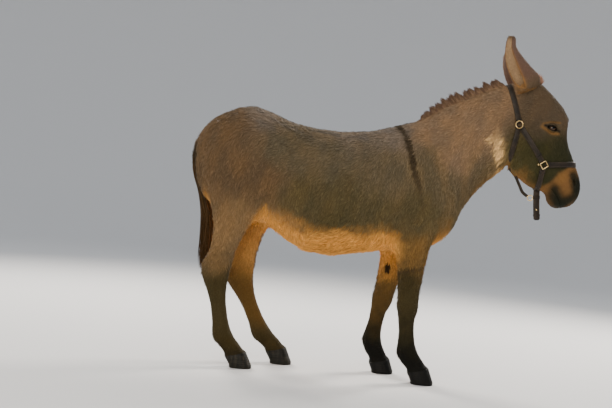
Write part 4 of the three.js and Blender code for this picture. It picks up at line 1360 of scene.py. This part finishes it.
# ---------------------------------------------------------------------------------------------- eyes and hooves
def make_eyes():
    for side, name in ((-1, "eye_right"), (1, "eye_left")):
        rings = 28
        turn = np.linspace(0.02, math.pi - 0.02, rings)[:, None]
        spin = np.linspace(0, 2 * math.pi, 40, endpoint=False)[None]
        swell = 1 + 0.05 * bell(math.pi - turn, 0.42)  # the cornea
        shape = np.stack([
            swell * np.sin(turn) * np.cos(spin), swell * np.sin(turn) * np.sin(spin),
            -swell * np.cos(turn) * np.ones_like(spin),
        ], 2) * EYE_RADIUS
        points, faces = ring_stack(shape)
        made = mesh_object(f"eyeball_{name[4:]}", points, faces)
        out = Vector((0.16, side, 0.05)).normalized()
        level = Vector((1, 0, 0.10))
        level = (level - out * level.dot(out)).normalized()
        up = out.cross(level)
        turned = Matrix((level, up, out)).transposed().to_4x4()
        made.matrix_world = Matrix.Translation((EYE[0], side * EYE_MIDDLE, EYE[2])) @ turned
        made.data.materials.append(MATERIAL["eye"])
        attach(made, "root")
        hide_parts(name)


HOOF_VOXEL = 0.0022
HOOF_BAND = 5  # voxels
HOOF_MARGIN = 0.012
GROWTH_RINGS = ((1, 0.0085, 0), (0.5, 0.0052, 1))  # share, spacing and shift of two rows of waves
GROWTH_HEIGHT = 0.00045
FORE_SHADE, HIND_SHADE = 0.30, 1.15  # the photo's fore hooves are much the darker


def make_hooves():
    """Each hoof softened, with growth rings round its wall and a hollow sole."""
    for name in HOOVES:
        points, triangles = node_arrays(name)
        low, high = points.min(0), points.max(0)
        corner = low - HOOF_MARGIN
        count = np.ceil((high + HOOF_MARGIN - corner) / HOOF_VOXEL).astype(int)
        grid = openvdb.FloatGrid(float(HOOF_BAND))
        grid.copyFromArray(blurred(level_set(points, corner, HOOF_VOXEL, count, HOOF_BAND, triangles=triangles), 0.9))
        made, quads = grid.convertToQuads(0.15)
        made = made * HOOF_VOXEL + corner
        faces = outward_triangles(made, quads)
        normals = point_normals(made, faces)
        share = (made[:, 2] - low[2]) / (high[2] - low[2])
        wall = smooth_step(0.6, 0.3, np.abs(normals[:, 2]))
        wall = wall * smooth_step(0.04, 0.14, share) * smooth_step(0.98, 0.85, share)
        slant = made[:, 2] - 0.16 * (made[:, 0] - made[:, 0].mean())
        rings = sum(part * np.sin(slant * 2 * math.pi / gap + shift) for part, gap, shift in GROWTH_RINGS)
        made = made + normals * (GROWTH_HEIGHT * rings * wall)[:, None]
        made[:, 2] = np.maximum(made[:, 2], 0.0)
        piece = mesh_object(name.replace("hoof", "_hoof"), made, faces)
        shade = FORE_SHADE if name.startswith("fore") else HIND_SHADE
        set_tint(piece, np.tile((shade, shade, shade * 0.9, 1), (len(made), 1)))
        piece.data.materials.append(MATERIAL["hoof"])
        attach(piece, "root")
        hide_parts(name)


# ---------------------------------------------------------------------------------------------- long hair
STRAND_RIDGE = 0.8  # height of a strand's third corner over the other two, in half widths


def strands(name, paths, widths, colours, tip_tint, fine=0.96, late=1.0):
    """A mesh of tapering three-sided strands.

    paths is (strands, steps, 3). fine is how far the tips taper, and the greater late is, the nearer to the tip its
    tint comes in.
    """
    count, steps = paths.shape[:2]
    run = unit(np.gradient(paths, axis=1))
    side = unit(np.cross(run, unit(random.normal(size=(count, 1, 3)))))
    up = np.cross(side, run)
    taper = np.minimum(1, 0.55 + np.linspace(0, 2, steps)) * (1 - np.linspace(0, 1, steps) ** 2 * fine)
    w = (widths[:, None] * taper[None])[..., None] / 2
    rings = np.stack([paths - side * w, paths + side * w, paths + up * w * STRAND_RIDGE], 2)
    points = rings.reshape(-1, 3)
    k = np.arange(steps - 1)[:, None]
    j = np.arange(3)[None]
    a, b = (k * 3 + j).ravel(), (k * 3 + (j + 1) % 3).ravel()
    one = np.vstack([np.stack([a, b, b + 3], 1), np.stack([a, b + 3, a + 3], 1), [(0, 2, 1)],
                     [(steps * 3 - 3, steps * 3 - 2, steps * 3 - 1)]])
    faces = (one[None] + (np.arange(count) * steps * 3)[:, None, None]).reshape(-1, 3)
    made = mesh_object(name, points, faces, smooth=False)
    share = np.linspace(0, 1, steps)[None, :, None] ** late
    tint = colours[:, None] * (1 - share) + colours[:, None] * tip_tint * share
    values = np.ones((count, steps, 3, 4), np.float32)
    values[..., :3] = tint[:, :, None]
    set_tint(made, values.reshape(-1, 4))
    atlas = strand_atlas(paths)
    spread = np.stack(np.meshgrid(np.linspace(-0.5, 0.5, steps), (-0.5, 0.5, 0.0), indexing="ij"), 2)
    set_bake_map(made, atlas[:, None, None] + spread[None] * PATCH, faces)
    made.data.materials.append(MATERIAL["long_hair"])
    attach(made, "root")
    return made


def strand_atlas(paths):
    """The roots of strands laid out flat: along their own line, and by their place across it."""
    root = paths[:, 0]
    low, high = root.min(0), root.max(0)
    share = (root - low) / np.maximum(high - low, 1e-6)
    return 0.01 + 0.98 * np.stack([share[:, 0], 0.5 * share[:, 1] + 0.5 * share[:, 2]], 1)


def skin_top(x, bins, reach, above, least=0):
    """Height of the skin's top line at places x, from its points above a height and near each of the bins."""
    p = SKIN_POINTS[(np.abs(SKIN_POINTS[:, 1]) < 0.012) & (SKIN_POINTS[:, 2] > above)]
    top = np.array([p[np.abs(p[:, 0] - b) < reach, 2].max(initial=least) for b in bins])
    return np.interp(x, bins, top)


def crest_line(x):
    return skin_top(x, np.linspace(0.08, 0.60, 80), 0.010, 1.0)


def poll_line(x):
    return skin_top(x, np.linspace(0.56, 0.69, 40), 0.008, 1.30, 1.36) - 0.002


MANE_HAIRS, FORELOCK_HAIRS, TAIL_HAIRS, LASHES = 4200, 560, 1250, 90
MANE_START, MANE_LONG = 0.120, 0.382
CLUMP_GAPS = (0.016, 0.036)  # between the middles of the mane's clumps
CLUMP_HALF = 0.013
FORELOCK_START, FORELOCK_LONG, FORELOCK_TALL = 0.592, 0.062, 0.047
INSIDE_OUTLINE = 0.96  # how much of the tail's outline its hair fills


def make_mane():
    """Upright hair along the crest in ragged clumps that lean a little back."""
    chance = np.random.default_rng(31)
    spots = MANE_START + np.cumsum(chance.uniform(*CLUMP_GAPS, 40))
    spots = spots[spots < 0.500]
    tallness, lean = chance.uniform(0.72, 1.0, len(spots)), chance.uniform(-0.85, -0.40, len(spots))
    count, steps = MANE_HAIRS, 5
    x = MANE_START + MANE_LONG * random.random(count)
    y = random.normal(0, 0.0040, count).clip(-0.008, 0.008)
    z = crest_line(x) - 0.004 - 6 * y**2 / 0.01
    own = np.abs(x[:, None] - spots).argmin(1)
    off = (x - spots[own]) / CLUMP_HALF
    grow = smooth_step(0.110, 0.24, x) * smooth_step(0.520, 0.490, x)
    share = tallness[own] * (1 - 0.50 * np.clip(np.abs(off), 0, 1) ** 2.5)
    tall = (0.016 + 0.040 * share) * (0.35 + 0.65 * grow) * random.uniform(0.72, 1.06, count)
    slope = (crest_line(x + 0.01) - crest_line(x - 0.01)) / 0.02
    up = unit(np.stack([-slope + lean[own], y * 10, np.ones(count)], 1))
    t = np.linspace(0, 1, steps)
    paths = np.stack([x, y, z], 1)[:, None] + up[:, None] * (tall[:, None] * t)[..., None]
    paths[..., 0] += (-0.0030 * off + random.normal(0, 0.0018, count))[:, None] * t**1.5
    paths[..., 1] += random.normal(0, 0.0026, count)[:, None] * t
    shade = random.uniform(0.65, 1.25, count)[:, None]
    made = strands("mane_hair", paths, random.uniform(0.0022, 0.0040, count),
                   linear(160, 130, 100) * shade, np.array((0.30, 0.25, 0.33)), fine=0.85, late=1.8)
    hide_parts("mane")


def make_forelock():
    """A short upright tuft between the ears."""
    count, steps = FORELOCK_HAIRS, 6
    x = FORELOCK_START + FORELOCK_LONG * random.random(count)
    y = random.normal(0, 0.007, count).clip(-0.016, 0.016)
    root = np.stack([x, y, poll_line(x)], 1)
    tall = FORELOCK_TALL * random.uniform(0.55, 1.05, count)
    tall = tall * smooth_step(0.585, 0.605, x) * smooth_step(0.668, 0.640, x)
    t = np.linspace(0, 1, steps)
    paths = root[:, None] + np.stack([
        0.012 * t**1.3 * np.ones((count, 1)), y[:, None] * t * 0.5, tall[:, None] * (t - 0.25 * t**2),
    ], 2)
    shade = random.uniform(0.7, 1.2, count)[:, None]
    made = strands("forelock_hair", paths, random.uniform(0.0016, 0.0028, count),
                   linear(178, 140, 118) * shade, np.array((1.25, 1.2, 1.15)))
    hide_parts("forelock")


def make_tail():
    """The switch: locks that leave the dock and hang inside the outline of the tail."""
    outline, _ = node_arrays("tail")
    levels = np.linspace(outline[:, 2].min() + 0.002, outline[:, 2].max() - 0.004, 50)
    rows = []
    for level in levels:
        near = outline[np.abs(outline[:, 2] - level) < 0.035]
        rows.append((near[:, 0].min(), near[:, 0].max(), np.abs(near[:, 1]).max()))
    rows = np.array(rows)
    kernel = np.ones(5) / 5
    rows = np.stack([np.convolve(np.pad(rows[:, k], 2, mode="edge"), kernel, "valid") for k in range(3)], 1)
    count, steps = TAIL_HAIRS, 12
    start = 0.93 - 0.22 * random.random(count) ** 1.2
    end = 0.405 + 0.20 * random.random(count) ** 1.8
    t = np.linspace(0, 1, steps)
    z = start[:, None] + (end - start)[:, None] * t
    angle = random.uniform(0, 2 * math.pi, count)[:, None] + 0.25 * np.sin(z * 18 + random.uniform(0, 6, (count, 1)))
    radius = np.sqrt(random.uniform(0.12, 1.0, count))[:, None] * (0.80 + 0.18 * smooth_step(0.9, 0.6, z))
    radius = radius * (1 - 0.45 * t**2 * random.random((count, 1)))
    low, high, half = (np.interp(z, levels, rows[:, k]) for k in range(3))
    x = (low + high) / 2 + radius * np.cos(angle) * (high - low) / 2 * INSIDE_OUTLINE
    y = radius * np.sin(angle) * half * INSIDE_OUTLINE
    paths = np.stack([x, y, z], 2)
    shade = random.uniform(0.5, 1.4, count)[:, None]
    # The tail's front side is reddish: painted rim light on the dark hair.
    edge = smooth_step(0.45, 0.9, np.cos(angle[:, 0]))[:, None]
    colour = linear(68, 50, 27) * (1 - edge) + linear(112, 72, 42) * edge
    made = strands("tail_hair", paths, random.uniform(0.0028, 0.0052, count),
                   colour * shade, np.array((1.1, 1.0, 0.9)))
    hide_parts("tail")


def make_lashes():
    """Lashes on the upper lids."""
    count, steps = LASHES, 5
    t = np.linspace(0, 1, steps)
    rear, front = EYE_CORNERS
    paths = []
    for side in (-1, 1):
        share = np.linspace(0.10, 0.92, count)
        spot = rear + (front - rear) * share[:, None]
        rise = 4 * UPPER_BOW * share * (1 - share)
        x = EYE[0] + spot[:, 0] + 0.36 * rise
        z = EYE[2] + spot[:, 1] + 0.93 * rise
        away = np.hypot(x - EYE[0], z - EYE[2])
        y = EYE_MIDDLE + np.sqrt(np.maximum((EYE_RADIUS + 0.002) ** 2 - away**2, 0))
        root = np.stack([x, side * y, z], 1)
        long = 0.012 * random.uniform(0.7, 1.1, count)[:, None]
        paths.append(root[:, None] + np.stack([
            long * t * (share[:, None] - 0.45) * 0.9, side * long * t * 0.75, -long * (0.55 * t - 0.25 * t**2),
        ], 2))
    paths = np.vstack(paths)
    widths, colours = np.full(len(paths), 0.0009), np.tile(linear(20, 17, 14), (len(paths), 1))
    strands("eyelashes", paths, widths, colours, np.ones(3))


# ---------------------------------------------------------------------------------------------- head collar
RING_SPOT, SQUARE_SPOT = (0.562, 1.167), (0.681, 1.000)
THROAT_SPOT, CHIN_SPOT, POLL_SPOT, NOSE_SPOT = (0.530, 0.973), (0.671, 0.868), (0.513, 1.330), (0.825, 1.016)
JAW_STRAP = [(0.543, 0.976), (0.575, 0.944), (0.597, 0.906), (0.614, 0.876), (0.637, 0.859)]
STRAP_END = [(0.676, 0.893), (0.680, 0.835), (0.684, 0.795), (0.689, 0.757)]
STUD_SPOT = (0.683, 0.803)
STRAP_WIDE, STRAP_THICK = 0.024, 0.0036
STRAP_LIFT = 0.0024  # from the tips of the coat to the middle of a strap
JAW_WIDE, JAW_THICK = 0.015, 0.003
END_WIDE, END_THICK = 0.028, 0.0042
KEEPER_MORE = 0.0032  # how much wider and thicker a keeper is than its strap


def flesh_tree():
    points, triangles, start = [], [], 0
    for name in ("head", "neck"):
        p, t = node_arrays(name)
        points.append(p)
        triangles.append(t + start)
        start += len(p)
    return BVHTree.FromPolygons(np.vstack(points).tolist(), np.vstack(triangles).tolist())


def evened(path, rounds):
    """A path with its small wobbles smoothed and its ends kept."""
    for _ in range(rounds):
        path[1:-1] = path[1:-1] * 0.5 + (path[:-2] + path[2:]) * 0.25
    return path


def loop_route(tree, start, towards, steps=61):
    """From the right side round the head to the left, in the plane across the head through two side-view spots."""
    centre = Vector((start[0], 0, start[1]))
    u = Vector((towards[0] - start[0], 0, towards[1] - start[1])).normalized()
    path, out = [], []
    for angle in np.linspace(-math.pi / 2, math.pi / 2, steps):
        way = u * math.cos(angle) + Vector((0, 1, 0)) * math.sin(angle)
        hit, _, _, _ = tree.ray_cast(centre + way * 0.5, -way)
        path.append(np.array(hit))
        out.append(np.array(way))
    path = evened(np.array(path), 6)
    run = unit(np.gradient(path, axis=0))
    flat = np.cross(run, np.array((u.z, 0, -u.x)))
    flat *= np.sign((flat * np.array(out)).sum(1))[:, None]
    return path + flat * STRAP_LIFT, flat


def side_route(tree, start, end, side, steps=31):
    """Along one side of the head, straight in the side view."""
    path, out = [], []
    for t in np.linspace(0, 1, steps):
        x, z = (1 - t) * start[0] + t * end[0], (1 - t) * start[1] + t * end[1]
        hit, normal, _, _ = tree.ray_cast(Vector((x, side * 0.5, z)), Vector((0, -side, 0)))
        path.append(np.array(hit))
        out.append(np.array(normal) * (1 if normal.y * side > 0 else -1))
    path, out = evened(np.array(path), 6), unit(evened(np.array(out), 20))
    return path + out * STRAP_LIFT, out


def strap_rings(path, flat, wide, thick):
    """Rings of a strap with rounded edges and a slight crown. wide may change along the strap."""
    run = unit(np.gradient(path, axis=0))
    flat = unit(flat - (flat * run).sum(1)[:, None] * run)
    across = np.cross(flat, run)
    wide = np.broadcast_to(wide, len(path))[:, None, None]
    edge = 0.0012
    shape = np.array([
        (-0.5, -1, 0), (-0.5, -0.4, -1), (-0.5, 0.4, -1), (-0.5, 1, 0), (0, 1.15, 0), (0.5, 1, 0),
        (0.5, 0.4, 1), (0.5, -0.4, 1), (0.5, -1, 0),
    ])
    sideways = shape[:, 0] * wide[..., 0] - np.sign(shape[:, 0]) * edge + shape[:, 2] * edge
    upward = (shape[:, 1] * thick / 2)[None, :, None]
    return path[:, None] + across[:, None] * sideways[..., None] + flat[:, None] * upward


def add_piece(name, points, faces, material, slot, nodes=()):
    made = mesh_object(name, points, faces)
    made.data.materials.append(MATERIAL[material])
    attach(made, "root")
    if nodes:
        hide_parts(*nodes)
    return made


class Heap:
    """Several shapes gathered into one mesh."""

    def __init__(self):
        self.points, self.faces, self.count = [], [], 0

    def add(self, points, faces):
        self.points.append(points)
        self.faces.append(np.asarray(faces) + self.count)
        self.count += len(points)

    def arrays(self):
        return np.vstack(self.points), np.vstack(self.faces)


STITCH_LONG, STITCH_STEP, STITCH_THICK = 0.0032, 0.0052, 0.0007


def stitch_rows(heap, path, flat, wide, thick, both_faces=False):
    """Stitches along both edges of a strap."""
    length = np.concatenate([[0], np.cumsum(np.linalg.norm(np.diff(path, axis=0), axis=1))])
    run = unit(np.gradient(path, axis=0))
    flat = unit(flat - (flat * run).sum(1)[:, None] * run)
    across = np.cross(flat, run)
    spots = np.arange(0.006, length[-1] - 0.006, STITCH_STEP)

    def at(rows):
        return np.stack([np.interp(spots, length, rows[:, k]) for k in range(3)], 1)

    middle, r, f, a = at(path), unit(at(run)), unit(at(flat)), unit(at(across))
    for face in ((1, -1) if both_faces else (1,)):
        for edge in (-1, 1):
            base = middle + a * edge * (wide / 2 - 0.0031) + f * face * (thick / 2 + 0.0001)
            for spot, rr, ff, aa in zip(base, r, f * face, a):
                t = np.linspace(-1, 1, 4)[:, None, None]
                ring = np.array([(-1, -0.6), (1, -0.6), (0.7, 0.8), (-0.7, 0.8)])
                lift = (1 - t**2) * 0.0003
                rows = spot + rr * t * STITCH_LONG / 2 + aa * (ring[:, 0] * STITCH_THICK / 2)[None, :, None] \
                    + ff * ((ring[:, 1] * STITCH_THICK / 2)[None, :, None] + lift)
                heap.add(*ring_stack(rows))


def torus(centre, normal, radius, wire, around=48, section=14):
    normal = unit(np.array(normal))
    u = unit(np.cross(normal, (0.3, 0.9, 0.2)))
    v = np.cross(normal, u)
    a = np.linspace(0, 2 * math.pi, around, endpoint=False)
    spoke = np.cos(a)[:, None] * u + np.sin(a)[:, None] * v
    return tube_loop(centre + spoke * radius, spoke, np.tile(normal, (around, 1)), wire, section)


def tube_loop(path, spoke, normal, wire, section=14):
    """A closed tube round a loop of points."""
    around = len(path)
    s = np.linspace(0, 2 * math.pi, section, endpoint=False)
    turned = np.cos(s)[None, :, None] * spoke[:, None] + np.sin(s)[None, :, None] * normal[:, None]
    rings = path[:, None] + turned * wire
    points = rings.reshape(-1, 3)
    i, j = np.meshgrid(np.arange(around), np.arange(section), indexing="ij")
    a, b = (i * section + j).ravel(), (i * section + (j + 1) % section).ravel()
    c, d = ((i + 1) % around * section + (j + 1) % section).ravel(), ((i + 1) % around * section + j).ravel()
    return points, np.vstack([np.stack([a, c, b], 1), np.stack([a, d, c], 1)])


def fitting_axes(name):
    """Middle of a CAD fitting, the way it faces, and the way to one of its corners."""
    points, _ = node_arrays(name)
    middle = (points.max(0) + points.min(0)) / 2
    off = points - middle
    _, _, axes = np.linalg.svd(off - off.mean(0), full_matrices=False)
    facing = axes[2] * (np.sign(axes[2][1] * middle[1]) or 1)
    corner = off[np.argmax(np.linalg.norm(off, axis=1))]
    corner = unit(corner - facing * (corner @ facing))
    return middle, facing, corner


def square_loop(middle, facing, corner, size, rounded):
    """Points of a square with rounded corners, and the directions out from it."""
    u = unit(corner + np.cross(facing, corner))
    v = np.cross(facing, u)
    half = size / 2 - rounded
    path, spoke = [], []
    for k in range(4):
        start = k * math.pi / 2
        cx, cy = half * np.sign(math.cos(start + math.pi / 4)), half * np.sign(math.sin(start + math.pi / 4))
        for a in np.linspace(start, start + math.pi / 2, 7):
            way = math.cos(a) * u + math.sin(a) * v
            path.append(middle + cx * u + cy * v + rounded * way)
            spoke.append(way)
    return np.array(path), np.array(spoke)


def dome(centre, out, radius, height):
    """A low round stud."""
    out = unit(np.array(out))
    u = unit(np.cross(out, (0.3, 0.2, 0.9)))
    v = np.cross(out, u)
    rise = np.linspace(0, math.pi / 2 * 0.96, 6)[:, None, None]
    a = np.linspace(0, 2 * math.pi, 20, endpoint=False)[None, :, None]
    rows = centre + (np.cos(a) * u + np.sin(a) * v) * radius * np.cos(rise) + out * height * np.sin(rise)
    base = rows[:1] - out * height * 0.6
    return ring_stack(np.concatenate([base, rows]))


STRAP_PATHS = []


def make_head_collar():
    tree = flesh_tree()
    thread, brass = Heap(), Heap()
    straps = [
        ("halter_crown_strap", "halter_crownpiece", loop_route(tree, RING_SPOT, POLL_SPOT), 0.0),
        ("halter_throat_strap", "halter_throatlatch", loop_route(tree, RING_SPOT, THROAT_SPOT), 0.0004),
        ("halter_nose_strap", "halter_noseband", loop_route(tree, SQUARE_SPOT, NOSE_SPOT), 0.0),
        ("halter_chin_band", "halter_chin_strap", loop_route(tree, SQUARE_SPOT, CHIN_SPOT), 0.0),
        ("halter_cheek_strap_right", "halter_cheek_right", side_route(tree, RING_SPOT, SQUARE_SPOT, -1), 0.0002),
        ("halter_cheek_strap_left", "halter_cheek_left", side_route(tree, RING_SPOT, SQUARE_SPOT, 1), 0.0002),
    ]
    for name, node, (path, flat), raised in straps:
        path = path + flat * raised
        length = np.linalg.norm(np.diff(path, axis=0), axis=1).sum()
        fine = resample(path, int(length / 0.005))
        fine_flat = unit(resample(flat, int(length / 0.005)))
        trimmed = slice(2, -2)
        leather = Heap()
        leather.add(*ring_stack(strap_rings(fine[trimmed], fine_flat[trimmed], STRAP_WIDE, STRAP_THICK)))
        for place in keeper_places(name, len(fine)):
            part = slice(place, place + 3)
            keeper = strap_rings(fine[part], fine_flat[part], STRAP_WIDE + KEEPER_MORE, STRAP_THICK + KEEPER_MORE)
            leather.add(*ring_stack(keeper))
        add_piece(name, *leather.arrays(), "leather", "halter_leather", nodes=(node,))
        stitch_rows(thread, fine[trimmed], fine_flat[trimmed], STRAP_WIDE, STRAP_THICK)
        STRAP_PATHS.append((fine, STRAP_WIDE / 2))
    hanging_straps(thread, brass)
    fittings(brass)
    add_piece("halter_stitches", *thread.arrays(), "thread", "halter_leather")
    add_piece("halter_studs", *brass.arrays(), "brass", "halter_brass")


def keeper_places(name, count):
    """Where the leather keepers sit on a strap, as numbers of its rings."""
    if "crown" in name:
        return (8, count - 12)
    if "nose" in name or "chin" in name:
        return (7, count - 11)
    if "cheek" in name:
        return (count - 12,)
    return ()


def hanging_straps(thread, brass):
    """The thin strap under the jaw and the end of the chin strap, both on the middle plane."""
    points = resample(JAW_STRAP, 40)
    path = np.stack([points[:, 0], 0 * points[:, 0], points[:, 1]], 1)
    run = unit(np.gradient(path, axis=0))
    level = np.cross(run, (0, 1.0, 0))
    twist = np.linspace(math.radians(35), math.radians(60), 40)[:, None]
    flat = level * np.cos(twist) + np.array((0, 1.0, 0)) * np.sin(twist)
    leather = Heap()
    leather.add(*ring_stack(strap_rings(path, flat, JAW_WIDE, JAW_THICK)))
    add_piece("halter_jaw_line", *leather.arrays(), "leather", "halter_leather", nodes=("halter_jaw_strap",))
    stitch_rows(thread, path, flat, JAW_WIDE, JAW_THICK, both_faces=True)

    points = resample(STRAP_END, 30)
    path = np.stack([points[:, 0], 0 * points[:, 0], points[:, 1]], 1)
    flat = np.tile((0, -1.0, 0), (30, 1))
    wide = END_WIDE * np.minimum(1, 0.35 + 9 * (1 - np.linspace(0, 1, 30))) ** 0.5
    leather = Heap()
    leather.add(*ring_stack(strap_rings(path, flat, wide, END_THICK)))
    for part in (slice(5, 8), slice(22, 25)):
        leather.add(*ring_stack(strap_rings(path[part], flat[part], 0.0305, 0.0072)))
    add_piece("halter_hanging_end", *leather.arrays(), "leather", "halter_leather", nodes=("halter_strap_end",))
    stitch_rows(thread, path[:-2], flat[:-2], END_WIDE - 0.001, END_THICK, both_faces=True)
    for side in (-1, 1):
        brass.add(*dome(np.array((STUD_SPOT[0], side * 0.0021, STUD_SPOT[1])), (0, side, 0), 0.0036, 0.0018))


def fittings(brass):
    for side in ("right", "left"):
        middle, facing, _ = fitting_axes(f"halter_ear_ring_{side}")
        points, faces = torus(middle, facing, 0.0160, 0.0024)
        add_piece(f"halter_ring_{side}", points, faces, "brass", "halter_brass", nodes=(f"halter_ear_ring_{side}",))
        middle, facing, corner = fitting_axes(f"halter_square_{side}")
        path, spoke = square_loop(middle, facing, corner, 0.0275, 0.0035)
        points, faces = tube_loop(path, spoke, np.tile(facing, (len(path), 1)), 0.0023, 12)
        add_piece(f"halter_buckle_{side}", points, faces, "brass", "halter_brass", nodes=(f"halter_square_{side}",))
        rear = middle + np.array((-0.025, 0, 0.0)) + facing * 0.0012
        brass.add(*dome(rear, facing, 0.0042, 0.0020))
    middle, _, _ = fitting_axes("halter_chin_ring")
    points, faces = torus(middle, (0, 1, 0), 0.0120, 0.0022, 40, 12)
    add_piece("halter_chin_link", points, faces, "brass", "halter_brass", nodes=("halter_chin_ring",))


# ---------------------------------------------------------------------------------------------- build
def build_skin():
    skin = mesh_object("skin", SKIN_POINTS, SKIN_TRIANGLES)
    values = np.ones((len(SKIN_POINTS), 4), np.float32)
    values[:, :3] = coat_colour(SKIN_POINTS, SKIN_NORMALS) * 0.85
    set_tint(skin, values)
    skin.data.materials.append(MATERIAL["skin"])
    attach(skin, "root")
    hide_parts(*FLESH, "ear_right", "ear_left")


make_materials()
SKIN_POINTS, SKIN_TRIANGLES = make_skin()
SKIN_NORMALS = point_normals(SKIN_POINTS, SKIN_TRIANGLES)
build_skin()
make_head_collar()
make_eyes()
make_hooves()
make_mane()
make_forelock()
make_tail()
make_lashes()
FULL = 1.0  # share of the tufts that is made
make_tufts("coat_long", int(78000 * FULL), body_weight, long=True, wide=0.0034, lift=0.40, curl=0.50, pieces=5)
make_tufts("coat_short", int(138000 * FULL), short_weight, long=False, wide=0.0030, lift=0.30, curl=0.50, pieces=4,
           stretch=0.8)


# ---------------------------------------------------------------------------------------------- stage and light
def make_stage():
    """A pale floor that curves up into a wall far off on every side. A soft edge shows where it turns up."""
    flat, bend, top = 9.0, 5.0, 7.0
    turn = np.linspace(0, math.pi / 2, 14)
    outline = [(0.4, 0.0), (3.0, 0.0), (flat, 0.0)] + [
        (flat + bend * math.sin(a), bend * (1 - math.cos(a))) for a in turn[1:]
    ] + [(flat + bend, top)]
    angle = np.linspace(0, 2 * math.pi, 96, endpoint=False)
    rings = np.array([[(r * math.cos(a), r * math.sin(a), z) for a in angle] for r, z in outline])
    points, faces = ring_stack(rings)
    faces = faces[(faces != len(points) - 1).all(1)]
    floor = mesh_object("floor", points, faces[:, ::-1])
    material = bpy.data.materials.new("floor")
    material.use_nodes = True
    shader = material.node_tree.nodes["Principled BSDF"]
    shader.inputs["Base Color"].default_value = (0.60, 0.60, 0.60, 1)
    shader.inputs["Roughness"].default_value = 0.85
    floor.data.materials.append(material)
    world = bpy.data.worlds.new("studio")
    bpy.context.scene.world = world
    world.use_nodes = True
    world.node_tree.nodes["Background"].inputs["Color"].default_value = (0.90, 0.94, 1.0, 1)
    world.node_tree.nodes["Background"].inputs["Strength"].default_value = 0.85


def area_light(name, place, target, size, power, color=(1, 1, 1)):
    data = bpy.data.lights.new(name, "AREA")
    data.size = size
    data.energy = power
    data.color = color
    light = bpy.data.objects.new(name, data)
    bpy.context.scene.collection.objects.link(light)
    light.location = place
    light.visible_camera = False
    light.rotation_euler = (Vector(target) - Vector(place)).to_track_quat("-Z", "Y").to_euler()


make_stage()
area_light("front", (-1.0, -4.2, 2.6), (0, 0, 0.6), 3.0, 150, (1.0, 0.90, 0.76))
area_light("back_left", (-2.6, 3.2, 3.4), (-0.2, 0, 0.9), 1.6, 330, (1.0, 0.93, 0.84))
area_light("back_right", (2.6, 2.8, 3.0), (0.4, 0, 0.9), 1.4, 310, (1.0, 0.93, 0.84))
